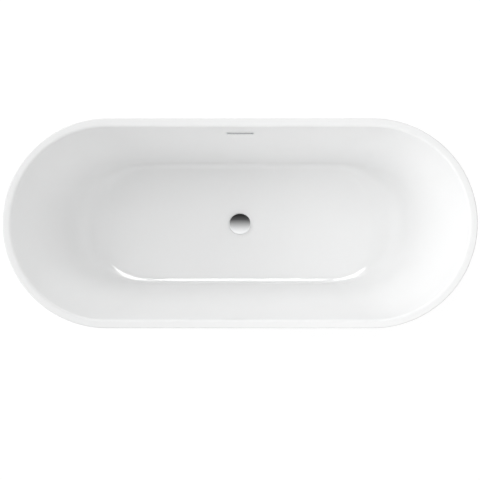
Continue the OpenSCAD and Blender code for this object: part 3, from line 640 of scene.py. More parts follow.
FINISHES = {
    finish.slot: finish
    for finish in (
        Finish("white_acrylic", (0.840, 0.843, 0.843), (0.834, 0.837, 0.837), 0.06, 0.05, coat=0.35,
               pattern=Pattern.CAST, scale=9.0, depth=0.0004, ior=1.49),
        Finish("white_skirt", (0.840, 0.843, 0.843), (0.832, 0.835, 0.835), 0.10, 0.05, coat=0.3,
               pattern=Pattern.CAST, scale=8.0, depth=0.0006, ior=1.49),
        Finish("glassfibre_resin", (0.66, 0.62, 0.47), (0.50, 0.46, 0.33), 0.28, 0.3,
               pattern=Pattern.STRANDS, scale=260.0, depth=0.0007, dust=0.15),
        Finish("adhesive", (0.74, 0.74, 0.72), (0.66, 0.66, 0.63), 0.42, 0.1, scale=400.0, depth=0.0001),
        Finish("board", (0.40, 0.27, 0.15), (0.30, 0.19, 0.10), 0.62, 0.15,
               pattern=Pattern.FIBRES, scale=520.0, depth=0.00012, dust=0.2),
        Finish("plywood", (0.52, 0.36, 0.20), (0.36, 0.22, 0.11), 0.58, 0.15,
               pattern=Pattern.PLIES, scale=330.0, depth=0.00015, dust=0.2),
        Finish("galvanised_steel", (0.58, 0.60, 0.61), (0.42, 0.44, 0.46), 0.34, 0.22, metal=1.0,
               pattern=Pattern.SPANGLE, scale=230.0, depth=0.00004, wear=0.2, dust=0.25),
        Finish("zinc_steel", (0.66, 0.66, 0.63), (0.55, 0.56, 0.57), 0.26, 0.16, metal=1.0,
               pattern=Pattern.PLATED, scale=1100.0, depth=0.00002, wear=0.3, dust=0.1),
        Finish("bare_steel", (0.50, 0.49, 0.47), (0.33, 0.31, 0.29), 0.36, 0.2, metal=1.0,
               pattern=Pattern.PLATED, scale=900.0, depth=0.00003, wear=0.3, dust=0.1),
        Finish("stainless_steel", (0.62, 0.61, 0.59), (0.50, 0.49, 0.48), 0.24, 0.14, metal=1.0,
               pattern=Pattern.BRUSHED, scale=1600.0, depth=0.00001, wear=0.2),
        Finish("spring_steel", (0.46, 0.46, 0.46), (0.36, 0.36, 0.37), 0.28, 0.12, metal=1.0,
               pattern=Pattern.BRUSHED, scale=2200.0, depth=0.00001),
        Finish("chrome", (0.90, 0.905, 0.91), (0.885, 0.89, 0.90), 0.035, 0.03, metal=1.0,
               pattern=Pattern.PLATED, scale=500.0, depth=0.000002),
        Finish("brass", (0.78, 0.58, 0.26), (0.62, 0.43, 0.17), 0.22, 0.14, metal=1.0,
               pattern=Pattern.PLATED, scale=800.0, depth=0.00001, wear=0.2),
        Finish("black_plastic", (0.022, 0.022, 0.023), (0.032, 0.032, 0.033), 0.42, 0.1, wear=0.15, dust=0.2),
        Finish("dark_plastic", (0.055, 0.057, 0.06), (0.04, 0.042, 0.045), 0.40, 0.12, wear=0.15, dust=0.15),
        Finish("pad_plastic", (0.045, 0.046, 0.048), (0.034, 0.035, 0.037), 0.46, 0.1, wear=0.2, dust=0.2),
        Finish("cartridge_plastic", (0.72, 0.70, 0.64), (0.62, 0.60, 0.54), 0.38, 0.1),
        Finish("white_pipe_plastic", (0.80, 0.80, 0.785), (0.72, 0.72, 0.70), 0.30, 0.12,
               scale=700.0, wear=0.05, dust=0.12),
        Finish("hose_plastic", (0.62, 0.63, 0.64), (0.54, 0.55, 0.56), 0.36, 0.12, scale=800.0, dust=0.12),
        Finish("black_rubber", (0.018, 0.018, 0.018), (0.03, 0.03, 0.029), 0.68, 0.15,
               pattern=Pattern.RUBBER, scale=1500.0, depth=0.00006, dust=0.25),
    )
}


class Dresser:
    """Makes each finish's material once, and puts materials on pieces.

    A rubbed edge keeps half of its colour and is paler by a plain amount.
    """

    rubbed_share: float = 0.5
    rubbed_pale: float = 0.45
    dust_colour: tuple[float, ...] = (0.55, 0.53, 0.50, 1.0)
    dust_rough: float = 0.4
    coat_rough: float = 0.03

    def __init__(self) -> None:
        """Builds the effects that several materials share."""
        self._patterns = PatternLibrary()
        self._made: dict[str, bpy.types.Material] = {}
        self._wear = self._wear_group()
        self._dust = self._dust_group()

    @staticmethod
    def _wear_group() -> bpy.types.NodeTree:
        """A mask of the edges that hands and tools rub, broken up by noise."""
        inputs = [("Amount", "NodeSocketFloat", 0.3), ("Scale", "NodeSocketFloat", 120.0)]
        graph = new_group("edge_wear", "ShaderNodeTree", inputs, [("Mask", "NodeSocketFloat")])
        edge = graph.span(graph.node("ShaderNodeNewGeometry").outputs["Pointiness"], 0.52, 0.60)
        place = graph.node("ShaderNodeTexCoord").outputs["Object"]
        sockets = {"Vector": place, "Scale": graph.entry["Scale"], "Detail": 4.0}
        noise = graph.node("ShaderNodeTexNoise", sockets)
        broken = graph.times(edge, graph.span(noise.outputs["Fac"], 0.35, 0.65))
        graph.feed(graph.exit["Mask"], graph.times(broken, graph.entry["Amount"]))
        return graph.tree

    @staticmethod
    def _dust_group() -> bpy.types.NodeTree:
        """A mask of the dust that lies on faces that look up."""
        inputs = [("Amount", "NodeSocketFloat", 0.2)]
        graph = new_group("settled_dust", "ShaderNodeTree", inputs, [("Mask", "NodeSocketFloat")])
        coords = graph.node("ShaderNodeTexCoord")
        up = graph.parts(coords.outputs["Normal"])["Z"]
        sockets = {"Vector": coords.outputs["Object"], "Scale": 60.0, "Detail": 5.0}
        noise = graph.node("ShaderNodeTexNoise", sockets)
        cover = graph.times(graph.span(up, 0.2, 1.0), graph.span(noise.outputs["Fac"], 0.3, 0.7))
        graph.feed(graph.exit["Mask"], graph.times(cover, graph.entry["Amount"]))
        return graph.tree

    def material(self, slot: str) -> bpy.types.Material:
        """Returns the material of a slot, and makes it at first use.

        Args:
            slot: the name of one of the record's material slots.

        Returns:
            The finished material.
        """
        if slot not in self._made:
            self._made[slot] = self._build(FINISHES[slot])
        return self._made[slot]

    def _build(self, finish: Finish) -> bpy.types.Material:
        """Joins a finish's pattern, wear and dust to a Principled shader.

        Args:
            finish: the finish.

        Returns:
            The material.
        """
        material = bpy.data.materials.new(finish.slot)
        material.use_nodes = True
        graph = Graph(material.node_tree)
        shader = material.node_tree.nodes["Principled BSDF"]
        pattern = self._patterns.group(finish.pattern)
        surface = graph.node("ShaderNodeGroup", {"Scale": finish.scale}, node_tree=pattern)
        colour = graph.blend(surface.outputs["Tint"], (*finish.colour, 1.0), (*finish.shade, 1.0))
        roughest = finish.rough + finish.rough_span
        rough = graph.span(surface.outputs["Polish"], 0.0, 1.0, finish.rough, roughest)
        if finish.wear:
            wear = graph.node("ShaderNodeGroup", {"Amount": finish.wear}, node_tree=self._wear)
            rubbed = tuple(channel * self.rubbed_share + self.rubbed_pale for channel in finish.colour)
            colour = graph.blend(wear.outputs["Mask"], colour, (*rubbed, 1.0))
        if finish.dust:
            dust = graph.node("ShaderNodeGroup", {"Amount": finish.dust}, node_tree=self._dust)
            colour = graph.blend(dust.outputs["Mask"], colour, self.dust_colour)
            rough = graph.plus(rough, graph.times(dust.outputs["Mask"], self.dust_rough))
        sockets = {"Height": surface.outputs["Height"], "Distance": finish.depth, "Strength": 1.0}
        bump = graph.node("ShaderNodeBump", sockets)
        graph.feed(shader.inputs["Base Color"], colour)
        graph.feed(shader.inputs["Roughness"], rough)
        graph.feed(shader.inputs["Normal"], bump.outputs["Normal"])
        for name, value in (
            ("Metallic", finish.metal),
            ("IOR", finish.ior),
            ("Coat Weight", finish.coat),
            ("Coat Roughness", self.coat_rough),
        ):
            shader.inputs[name].default_value = value
        return material

    def dress(self, piece: Piece, slot: str) -> None:
        """Leaves a piece with one material, the slot's own."""
        piece.data.materials.clear()
        piece.data.materials.append(self.material(slot))


# ---------------------------------------------------------------- meshes


def linked(name: str, data: Any) -> Piece:
    """Puts data in the scene.

    Args:
        name: the object's name.
        data: a mesh, a lamp or a camera.

    Returns:
        The new object.
    """
    made = bpy.data.objects.new(name, data)
    bpy.context.scene.collection.objects.link(made)
    return made


def mesh_object(
    name: str, points: Sequence[Sequence[float]], faces: Sequence[Sequence[int]] = (),
    edges: Sequence[tuple[int, int]] = (),
) -> Piece:
    """Makes a linked mesh object from points, faces and loose edges.

    Args:
        name: the object's name.
        points: the vertices in millimetres.
        faces: vertex numbers of each face, counter-clockwise seen from outside.
        edges: vertex numbers of each edge that has no face.

    Returns:
        The new object, at the origin.
    """
    mesh = bpy.data.meshes.new(name)
    mesh.from_pydata([Vector(p) * MM for p in points], list(edges), [tuple(f) for f in faces])
    return linked(name, mesh)


def poured(name: str, work: bmesh.types.BMesh) -> Piece:
    """Ends a bmesh.

    Args:
        name: the new object's name.
        work: the bmesh, which is freed.

    Returns:
        The linked and shaded object.
    """
    mesh = bpy.data.meshes.new(name)
    work.to_mesh(mesh)
    work.free()
    return shade(linked(name, mesh))


def shade(piece: Piece, crease: float = CREASE) -> Piece:
    """Shades a piece smooth.

    Args:
        piece: the piece.
        crease: the angle in radians past which an edge stays sharp.

    Returns:
        The piece.
    """
    mesh = piece.data
    mesh.polygons.foreach_set("use_smooth", [True] * len(mesh.polygons))
    mesh.set_sharp_from_angle(angle=crease)
    mesh.update()
    return piece


def face_outwards(mesh: bpy.types.Mesh) -> None:
    """Merges doubles, drops loose edges and turns the faces of closed shells outwards.

    Args:
        mesh: the mesh to mend.
    """
    work = bmesh.new()
    work.from_mesh(mesh)
    bmesh.ops.remove_doubles(work, verts=work.verts, dist=SAME_PLACE)
    bmesh.ops.delete(work, geom=[edge for edge in work.edges if edge.is_wire], context="EDGES")
    bmesh.ops.recalc_face_normals(work, faces=work.faces)
    work.to_mesh(mesh)
    work.free()


def apply_modifiers(piece: Piece) -> Piece:
    """Turns a piece's live modifiers into plain mesh.

    Args:
        piece: the piece.

    Returns:
        The piece, with a mesh of its own and no modifier.
    """
    graph = bpy.context.evaluated_depsgraph_get()
    mesh = bpy.data.meshes.new_from_object(piece.evaluated_get(graph), depsgraph=graph)
    piece.modifiers.clear()
    old = piece.data
    piece.data = mesh
    mesh.name = piece.name
    bpy.data.meshes.remove(old)
    return piece


def cut(piece: Piece, tools: Iterable[Piece]) -> Piece:
    """Cuts closed tools out of a piece.

    Args:
        piece: what is cut.
        tools: the tools, which are deleted.

    Returns:
        The cut piece.
    """
    tools = list(tools)
    for tool in tools:
        modifier = piece.modifiers.new("cut", "BOOLEAN")
        modifier.operation = "DIFFERENCE"
        modifier.solver = "EXACT"
        modifier.object = tool
    apply_modifiers(piece)
    for tool in tools:
        bpy.data.objects.remove(tool)
    return piece


def lofted(name: str, rings: Sequence[Sequence[Sequence[float]]], closed: bool = True) -> Piece:
    """Skins a row of equal rings.

    Args:
        name: the object's name.
        rings: rings of points, all with as many points.
        closed: whether the last ring joins the first. Otherwise both ends are capped.

    Returns:
        The skinned object, with its faces outwards.
    """
    count = len(rings[0])
    last = len(rings) if closed else len(rings) - 1
    faces = []
    for k in range(last):
        low, high = k * count, (k + 1) % len(rings) * count
        faces += [(low + i, low + (i + 1) % count, high + (i + 1) % count, high + i) for i in range(count)]
    if not closed:
        faces.append(tuple(reversed(range(count))))
        faces.append(tuple(range(last * count, (last + 1) * count)))
    made = mesh_object(name, [p for ring in rings for p in ring], faces)
    face_outwards(made.data)
    return made


def around(radius: float, height: float, sides: int, centre: Point = (0, 0, 0)) -> list[Point]:
    """Divides a level circle round the vertical through centre.

    Args:
        radius: the circle's radius.
        height: how far it lies over centre.
        sides: how many points it has.
        centre: the foot of the vertical.

    Returns:
        The points, counter-clockwise from above.
    """
    x, y, z = centre
    turns = [math.tau * i / sides for i in range(sides)]
    return [(x + radius * math.cos(a), y + radius * math.sin(a), z + height) for a in turns]


def lathe(name: str, profile: Sequence[Pair], sides: int = 64, centre: Point = (0, 0, 0)) -> Piece:
    """Turns a closed profile round the vertical through centre.

    Args:
        name: the object's name.
        profile: (radius, height) points. A radius of 0 lies on the axis.
        sides: faces round the axis.
        centre: the foot of the axis.

    Returns:
        The turned object, with its faces outwards.
    """
    return lofted(name, [around(radius, height, sides, centre) for radius, height in profile])


def arc(centre: Pair, radius: float, start: float, end: float, steps: int) -> list[Pair]:
    """Divides an arc in a profile's plane.

    Args:
        centre: its centre.
        radius: its radius.
        start: its first angle in degrees.
        end: its last angle in degrees.
        steps: into how many parts it is divided.

    Returns:
        The points, ends included.
    """
    points = []
    for i in range(steps + 1):
        angle = math.radians(start + (end - start) * i / steps)
        points.append((centre[0] + radius * math.cos(angle), centre[1] + radius * math.sin(angle)))
    return points


def polyline(name: str, points: Sequence[Sequence[float]], closed: bool = False) -> Piece:
    """Makes a mesh object of edges alone, for a recipe to follow.

    Args:
        name: the object's name.
        points: the corners in millimetres.
        closed: whether the last joins the first.

    Returns:
        The object.
    """
    edges = [(i, i + 1) for i in range(len(points) - 1)]
    if closed:
        edges.append((len(points) - 1, 0))
    return mesh_object(name, points, edges=edges)


def set_points(name: str, places: Sequence[tuple[Point, Point]]) -> Piece:
    """Makes a mesh object of points alone.

    Args:
        name: the object's name.
        places: each point in millimetres, with the axis that a part set there follows.

    Returns:
        The object, whose points carry an axis attribute.
    """
    made = mesh_object(name, [place for place, _ in places])
    axis = made.data.attributes.new("axis", "FLOAT_VECTOR", "POINT")
    axis.data.foreach_set("vector", [value for _, direction in places for value in direction])
    return made


def tidied(piece: Piece, crease: float = CREASE) -> Piece:
    """Merges a recipe's mesh, turns its faces outwards and shades it."""
    face_outwards(piece.data)
    return shade(piece, crease)


def fused(name: str, parts: Sequence[Piece]) -> Piece:
    """Puts several meshes into one object.

    Args:
        name: the new object's name.
        parts: the objects, which are deleted.

    Returns:
        The new object, shaded.
    """
    work = bmesh.new()
    for part in parts:
        work.from_mesh(part.data)
        bpy.data.objects.remove(part)
    return poured(name, work)


def bar(
    name: str, outline: Sequence[Pair], low: float, high: float, place: Matrix | None = None
) -> Piece:
    """Builds a prism on a level outline.

    Args:
        name: the object's name.
        outline: its corners.
        low: height of its foot.
        high: height of its top.
        place: the matrix that carries it, if any.

    Returns:
        The prism.
    """
    matrix = place or Matrix.Identity(4)
    rings = [[matrix @ Vector((x, y, z)) for x, y in outline] for z in (low, high)]
    return lofted(name, rings, closed=False)


def softened(source: Piece, name: str, width: float, steps: int = 2, corner: float = 30.0) -> Piece:
    """Copies a CAD node and rounds its sharp edges.

    Args:
        source: the CAD node's object.
        name: the copy's name.
        width: how far the rounding reaches from an edge, in millimetres.
        steps: faces across the rounding.
        corner: the least angle in degrees between two faces whose edge is rounded.

    Returns:
        The copy, shaded and not yet dressed.
    """
    work = bmesh.new()
    work.from_mesh(source.data)
    bmesh.ops.remove_doubles(work, verts=work.verts, dist=SAME_PLACE)
    bmesh.ops.dissolve_limit(work, angle_limit=LEVEL, verts=work.verts, edges=work.edges)
    sharp = [e for e in work.edges if e.is_manifold and e.calc_face_angle(0.0) > math.radians(corner)]
    bmesh.ops.bevel(
        work, geom=sharp, offset=width * MM, offset_type="OFFSET", segments=steps, profile=0.5,
        affect="EDGES", clamp_overlap=True,
    )
    return poured(name, work)


def spow(value: float, power: float) -> float:
    """Raises a value's size to a power and keeps its sign."""
    return math.copysign(abs(value) ** power, value)


# ---------------------------------------------------------------- workshop


class Workshop:
    """What every sub-assembly needs: the frame, the dresser and a way to book a finished piece."""

    def __init__(self, frame: dict[str, Any]) -> None:
        """Keeps the loaded frame.
        """
        self.nodes: dict[str, Piece] = frame["nodes"]
        self.dresser = Dresser()
        self.recipes = RecipeBook()
        self.slots = {part["node"]: part["material_slot"] for part in frame["record"]["subparts"]}
        groups = frame["record"]["behaviour"]["bodies"]
        self.bodies = {node: body for body, members in groups.items() for node in members}

    def book(self, piece: Piece, body: str, slot: str, stands_for: Sequence[str] = ()) -> Piece:
        """Dresses a piece, lets it ride on a body and logs it.

        Args:
            piece: the finished piece.
            body: the body that it moves with.
            slot: its material slot.
            stands_for: the CAD nodes that it replaces.

        Returns:
            The piece.
        """
        if not piece.data.materials:
            self.dresser.dress(piece, slot)
        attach(piece, body)
        if stands_for:
            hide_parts(*stands_for)
        LOG.info("%s on %s: %d faces, %s", piece.name, body, len(piece.data.polygons), slot)
        return piece

    def refine(self, node: str, name: str, width: float, steps: int = 2, corner: float = 30.0) -> Piece:
        """Replaces a CAD node by a copy with rounded edges.

        Args:
            node: the CAD node.
            name: the copy's name.
            width: reach of the rounding in millimetres.
            steps: faces across it.
            corner: least angle in degrees of a rounded edge.

        Returns:
            The booked copy.
        """
        piece = softened(self.nodes[node], name, width, steps, corner)
        return self.book(piece, self.bodies[node], self.slots[node], [node])

    def stud_row(self, node: str, name: str, unit: Piece, places: Sequence[tuple[Point, Point]]) -> Piece:
        """Sets a unit part at every place as one piece, and deletes the unit.

        Args:
            node: the CAD node that the piece replaces.
            name: the piece's name.
            unit: the part, at the origin and along +Z.
            places: points and axes.

        Returns:
            The booked piece.
        """
        slot = self.slots[node]
        piece = self.make("set_at_points", set_points(name, places), slot, unit=unit)
        bpy.data.objects.remove(unit)
        return self.book(shade(piece), self.bodies[node], slot, [node])

    def make(self, recipe: str, piece: Piece, slot: str, **sizes: Any) -> Piece:
        """Runs a recipe on a mesh, in a slot's material."""
        return self.recipes.get(recipe).run(piece, self.dresser.material(slot), **sizes)

    def dress_frame(self) -> None:
        """Gives every CAD node that still shows its finish."""
        for name, node in self.nodes.items():
            if not node.hide_render:
                self.dresser.dress(node, self.slots[name])
                LOG.info("%s stays as built: %s", name, self.slots[name])


# ---------------------------------------------------------------- fasteners


@dataclass(frozen=True)
class PanScrew:
    """A pan-head screw with a cross recess. It points along +Z and its head sits below z = 0.

    Its neck is the plain length under the head, and its core is the thread's root as a share of the radius.
    """

    radius: float = 2.5
    length: float = 10.0
    pitch: float = 1.5
    neck: float = 1.2
    core: float = 0.86

    def unit(self) -> Piece:
        """Builds one screw at the origin."""
        r, tip, root = self.radius, self.length, self.core * self.radius
        crown = arc((1.15 * r, -0.35 * r), 0.85 * r, -90, 0, 6)
        head = [(0.0, -1.2 * r), (r, -1.2 * r), *crown, (2.0 * r, 0.0), (r, 0.0)]
        shank = []
        for turn in range(int((tip - 2.2 * r - self.neck) / self.pitch)):
            z = self.neck + turn * self.pitch
            shank += [(root, z), (r, z + 0.3 * self.pitch), (root, z + 0.6 * self.pitch)]
        profile = [*head, (root, 0.2), *shank, (0.8 * r, tip - 1.6 * r), (0.0, tip)]
        screw = lathe("screw_unit", profile, 24)
        long, wide = 0.95 * r, 0.16 * r
        outline = [(-long, -wide), (long, -wide), (long, wide), (-long, wide)]
        arms = []
        for turn in (0.0, 90.0):
            turned = Matrix.Rotation(math.radians(turn), 4, "Z")
            arms.append(bar("recess", outline, -1.3 * r, -0.55 * r, turned))
        return cut(screw, arms)


@dataclass(frozen=True)
class HexNut:
    """A chamfered hexagon nut whose underside is at z = 0."""

    across: float = 19.0
    bore: float = 6.1
    height: float = 10.0

    def unit(self) -> Piece:
        """Builds one nut at the origin."""
        return lofted("nut_unit", self.rings())

    def rings(self, sides: int = 72) -> list[list[Point]]:
        """Rings up the outside and down the bore.

        Args:
            sides: points round each ring.

        Returns:
            The rings of a closed loft.
        """
        flat, corner, top = self.across / 2, self.across / math.sqrt(3), self.height
        face, ease, chamfer = flat * 0.97, 0.35, 0.7
        shoulder = ease + (corner - flat) * 0.58
        levels = (
            (0.0, face), (ease, flat), (shoulder, corner),
            (top - shoulder, corner), (top - ease, flat), (top, face),
        )
        turns = [math.tau * i / sides for i in range(sides)]
        rings = [[self._corner_at(turn, limit, z) for turn in turns] for z, limit in levels]
        mouth = self.bore + chamfer
        for radius, z in ((mouth, top), (self.bore, top - chamfer), (self.bore, chamfer), (mouth, 0.0)):
            rings.append(around(radius, z, sides))
        return rings

    def _corner_at(self, angle: float, limit: float, z: float) -> Point:
        """Finds a point on the hexagon's edge.

        Args:
            angle: its direction in radians.
            limit: how far out it may lie.
            z: its height.

        Returns:
            The point.
        """
        turned = (angle + math.pi / 6) % (math.pi / 3) - math.pi / 6
        radius = min(limit, self.across / 2 / math.cos(turned))
        return (radius * math.cos(angle), radius * math.sin(angle), z)


# ---------------------------------------------------------------- shells


@dataclass
class Shells:
    """The basin, its glass-fibre back and the outer skirt."""

    shop: Workshop
    straight: float = 475.0
    rim_z: float = 600.0
    rim_r: float = 375.0
    edge_r: float = 4.0
    lip_z: float = 575.0
    lip_wall: float = 5.0
    roll_r: float = 12.0
    floor_z: float = 186.0
    drain_z: float = 180.0
    drain_r: float = 26.0
    seat_r: float = 48.0
    floor_half: Oval = (470.0, 196.0, 330.0, 2.3)
    starts: Pair = (830.0, 355.0)
    fillets: Pair = (180.0, 25.0)
    tilts: Pair = (31.3414, 17.6793)
    liner_wall: float = 5.0
    backing: Pair = (5.2, 9.2)
    backing_top: float = 562.0
    end_points: int = 81
    straight_points: int = 20
    floor_steps: int = 12
    slot_place: Pair = (323.28, 528.0)
    slot_size: Pair = (98.6, 13.0)
    slot_reach: float = 40.0

    tongue_r: float = 369.4
    tongue_z: float = 592.0
    adhesive_w: float = 10.0
    skirt_r: float = 374.5
    skirt_top: float = 574.7
    skirt_foot: float = 6.0
    skirt_taper: float = 80.0
    skirt_straight: float = 0.25
    skirt_wall: float = 5.0
    skirt_return: float = 20.0
    band_r: float = 278.3
    band_top: float = 41.0
    board_top: float = 170.8
    backing_foot: Oval = (448.0, 173.0, 330.0, 2.3)

    def build(self) -> None:
        """Builds the shells from the basin outwards."""
        self.build_liner()
        self.build_backing()
        self.build_board()
        self.build_skirt()

    def outline(self, shape: Oval, z: float) -> list[Point]:
        """Points round a level line of the basin.

        Args:
            shape: half length, half width, half straight, and how square the ends are (2 is round).
            z: the height of the line.

        Returns:
            The points, counter-clockwise from above.
        """
        length, width, straight, square = shape
        points = []
        for side, first in ((1, -90.0), (-1, 90.0)):
            for i in range(self.end_points):
                angle = math.radians(first + 180.0 * i / (self.end_points - 1))
                reach = side * abs(spow(math.cos(angle), 2 / square))
                rise = spow(math.sin(angle), 2 / square)
                points.append((side * straight + (length - straight) * reach, width * rise, z))
            y = width * side
            for i in range(1, self.straight_points):
                points.append((side * straight * (1 - 2 * i / self.straight_points), y, z))
        return points

    def circle(self, radius: float, z: float) -> list[Point]:
        """A circle round the drain, whose points lie in line with the floor's outline."""
        floor = self.outline(self.floor_half, z)
        return [(radius * x / math.hypot(x, y), radius * y / math.hypot(x, y), z) for x, y, _ in floor]

    def wall_at(self, z: float, depth: float, axis: int) -> float:
        """How far the basin's wall stands from the middle.

        Args:
            z: the height.
            depth: how deep under the basin's face the skin lies.
            axis: 0 for the backrest on the long axis, 1 for the side wall.

        Returns:
            The distance from the middle.
        """
        start, foot = self.starts[axis], self.floor_half[axis]
        tilt = math.radians(self.tilts[axis])
        roll_z = self.rim_z - self.roll_r
        roll, bowl = self.roll_r - depth, self.fillets[axis] + depth
        bowl_z = self.floor_z + self.fillets[axis]
        roll_foot = roll_z + roll * math.sin(tilt)
        if z >= roll_foot:
            return start - math.sqrt(max(0.0, roll**2 - (z - roll_z) ** 2))
        if z <= bowl_z - bowl * math.sin(tilt):
            return foot + math.sqrt(max(0.0, bowl**2 - (bowl_z - z) ** 2))
        return start - roll * math.cos(tilt) - (roll_foot - z) * math.tan(tilt)

    def basin_line(self, z: float, depth: float) -> list[Point]:
        """Draws a level line round the basin.

        Args:
            z: the height.
            depth: how deep under the basin's face the line lies.

        Returns:
            The line's points.
        """
        share = max(0.0, (z - self.floor_z) / (self.rim_z - self.floor_z))
        long, wide, straight, square = self.floor_half
        shape = (
            self.wall_at(z, depth, 0),
            self.wall_at(z, depth, 1),
            straight + (self.straight - straight) * share,
            square - (square - 2.0) * share,
        )
        return self.outline(shape, z)

    def rim_line(self, radius: float, z: float) -> list[Point]:
        """A level line at the rim, with round ends."""
        return self.outline((self.straight + radius, radius, self.straight, 2.0), z)

    def heights(self, depth: float, top: float) -> list[float]:
        """Heights that follow every bend of a skin from the floor up.

        Args:
            depth: how deep under the basin's face the skin lies.
            top: where the skin ends.

        Returns:
            The heights, upwards.
        """
        low = self.floor_z - depth
        found = {low, top}
        for axis, steps in ((1, 14), (0, 22)):
            bowl = self.fillets[axis] + depth
            turn = 90.0 - self.tilts[axis]
            bends = [math.cos(math.radians(turn * i / steps)) for i in range(1, steps + 1)]
            found |= {self.floor_z + self.fillets[axis] - bowl * bend for bend in bends}
        roll = self.roll_r - depth
        for axis in (0, 1):
            tilt = math.radians(self.tilts[axis])
            bends = [math.sin(tilt + (math.pi / 2 - tilt) * i / 10) for i in range(11)]
            found |= {self.rim_z - self.roll_r + roll * bend for bend in bends}
        found |= {300.0 + 14.0 * i for i in range(21)}
        ordered: list[float] = []
        for z in sorted(h for h in found if low <= h <= top):
            if not ordered or z - ordered[-1] > 0.02 or z == top:
                ordered.append(z)
        return ordered

    def floor_lines(self, ring_z: float, seat_z: float) -> list[list[Point]]:
        """The floor's lines from the seat of the drain out to the floor's outline.

        Args:
            ring_z: height of the floor's outline.
            seat_z: height of the seat.

        Returns:
            The lines between the two, both left out.
        """
        seat, edge = self.circle(self.seat_r, seat_z), self.outline(self.floor_half, ring_z)
        lines = []
        for i in range(1, self.floor_steps):
            share = i / self.floor_steps
            z = seat_z + (ring_z - seat_z) * math.sin(share * math.pi / 2)
            line = []
            for (x, y, _), (far_x, far_y, _) in zip(seat, edge):
                line.append((x + (far_x - x) * share, y + (far_y - y) * share, z))
            lines.append(line)
        return lines

    def build_liner(self) -> None:
        """Skins the acrylic basin: drain, floor, wall, rolled rim, lip and the back of them all."""
        wall, hole = self.liner_wall, self.drain_r
        front = [self.basin_line(z, 0.0) for z in self.heights(0.0, self.rim_z)]
        back_top = self.rim_z - wall
        back = [self.basin_line(z, wall) for z in self.heights(wall, back_top)]
        outer, inner, foot = self.rim_r, self.rim_r - self.lip_wall, self.lip_z
        turned = [
            *arc((outer - self.edge_r, self.rim_z - self.edge_r), self.edge_r, 90, 0, 8),
            (outer, foot + 1.2), (outer - 0.4, foot + 0.4), (outer - 1.2, foot),
            (inner + 1.2, foot), (inner + 0.4, foot + 0.4), (inner, foot + 1.2),
            (inner, back_top - 1.0), (inner - 1.0, back_top),
        ]
        lip = [self.rim_line(r, z) for r, z in turned]
        drop = self.drain_z - wall
        rings = [
            self.circle(hole, drop), self.circle(hole, self.drain_z - 1.5),
            self.circle(hole + 0.45, self.drain_z - 0.45), self.circle(hole + 1.5, self.drain_z),
            self.circle(self.seat_r - 6.0, self.drain_z), self.circle(self.seat_r, self.drain_z),
            *self.floor_lines(self.floor_z, self.drain_z),
            *front, *lip, *reversed(back),
            *reversed(self.floor_lines(self.floor_z - wall, drop)),
            self.circle(self.seat_r, drop),
        ]
        liner = lofted("basin_liner", rings)
        cut(liner, [self.slot_tool()])
        self.shop.book(shade(liner), "tub", "white_acrylic", ["tub_liner"])

    def build_backing(self) -> None:
        """Skins the glass-fibre layer that backs the basin, from under the floor to below the rim."""
        near, far = self.backing
        inside = [self.basin_line(z, near) for z in self.heights(near, self.backing_top)]
        outside = [self.basin_line(z, far) for z in self.heights(far, self.backing_top)]
        flat = self.outline(self.backing_foot, self.board_top)
        drop = self.drain_z - near
        rings = [
            self.circle(self.drain_r, self.board_top),
            self.circle(self.drain_r, drop), self.circle(self.seat_r, drop),
            *self.floor_lines(self.floor_z - near, drop), *inside, *reversed(outside), flat,
        ]
        backing = lofted("glass_fibre_back", rings)
        cut(backing, [self.slot_tool()])
        self.shop.book(shade(backing, math.radians(50)), "tub", "glassfibre_resin", ["glassfibre_backing"])

    def build_board(self) -> None:
        """The board under the floor, with eased edges."""
        self.shop.refine("base_board", "floor_board", 1.0)

    def skirt_at(self, z: float) -> float:
        """The skirt's outer radius at a height, with a part of its taper straight and the rest bowed."""
        down = (self.skirt_top - z) / (self.skirt_top - self.skirt_foot)
        bowed = 1.0 - self.skirt_straight
        return self.skirt_r - self.skirt_taper * (self.skirt_straight * down + bowed * down * down)

    def build_skirt(self) -> None:
        """Sweeps the skirt, its timber band and the adhesive bead round the tub."""
        wall, top, foot = self.skirt_wall, self.skirt_top, self.skirt_foot
        steps = 56
        levels = [top - (top - foot) * i / steps for i in range(steps + 1)]
        flange = foot + wall
        inner_foot = self.skirt_at(foot) - self.skirt_return
        outer = [(self.skirt_at(z), z) for z in levels[:-1]]
        outer[0] = (outer[0][0] - 0.8, top)
        outer.insert(1, (self.skirt_at(top - 0.8), top - 0.8))
        hem_r = 3.0
        hem = arc((self.skirt_at(foot) - hem_r, foot + hem_r), hem_r, 0, -90, 6)
        inner = [(self.skirt_at(z) - wall, z) for z in reversed(levels[1:]) if z > flange + 3.0]
        near, ease = self.tongue_r - wall, 1.5
        profile = [
            (self.tongue_r - 1.0, self.tongue_z), (self.tongue_r, self.tongue_z - 1.0), (self.tongue_r, top),
            *outer, *hem,
            (inner_foot + ease, foot), (inner_foot, foot + ease),
            (inner_foot, flange - ease), (inner_foot + ease, flange),
            (self.skirt_at(flange) - wall - 2.0, flange), (self.skirt_at(flange + 2.0) - wall, flange + 2.0),
            *inner, (self.tongue_r, top - wall * 2), (near, top),
            (near, self.tongue_z - 1.0), (near + 1.0, self.tongue_z),
        ]
        self.sweep("outer_shell", "outer_skirt", profile)
        low, high = self.tongue_r - self.adhesive_w, self.rim_z - self.liner_wall
        bead = [
            (self.tongue_r, self.tongue_z), (self.tongue_r, high), (low + 1.6, high), (low + 0.5, high - 0.6),
            (low, high - 1.5), (low + 0.5, high - 2.4), (low + 1.6, self.tongue_z),
        ]
        self.sweep("rim_bead", "rim_adhesive", bead)
        band_foot, gap = foot + wall, wall + 0.2
        heights = [band_foot + (self.band_top - band_foot) * i / 6 for i in range(7)]
        face = [(self.skirt_at(z) - gap, z) for z in heights]
        eased_foot, eased_top = band_foot + ease, self.band_top - ease
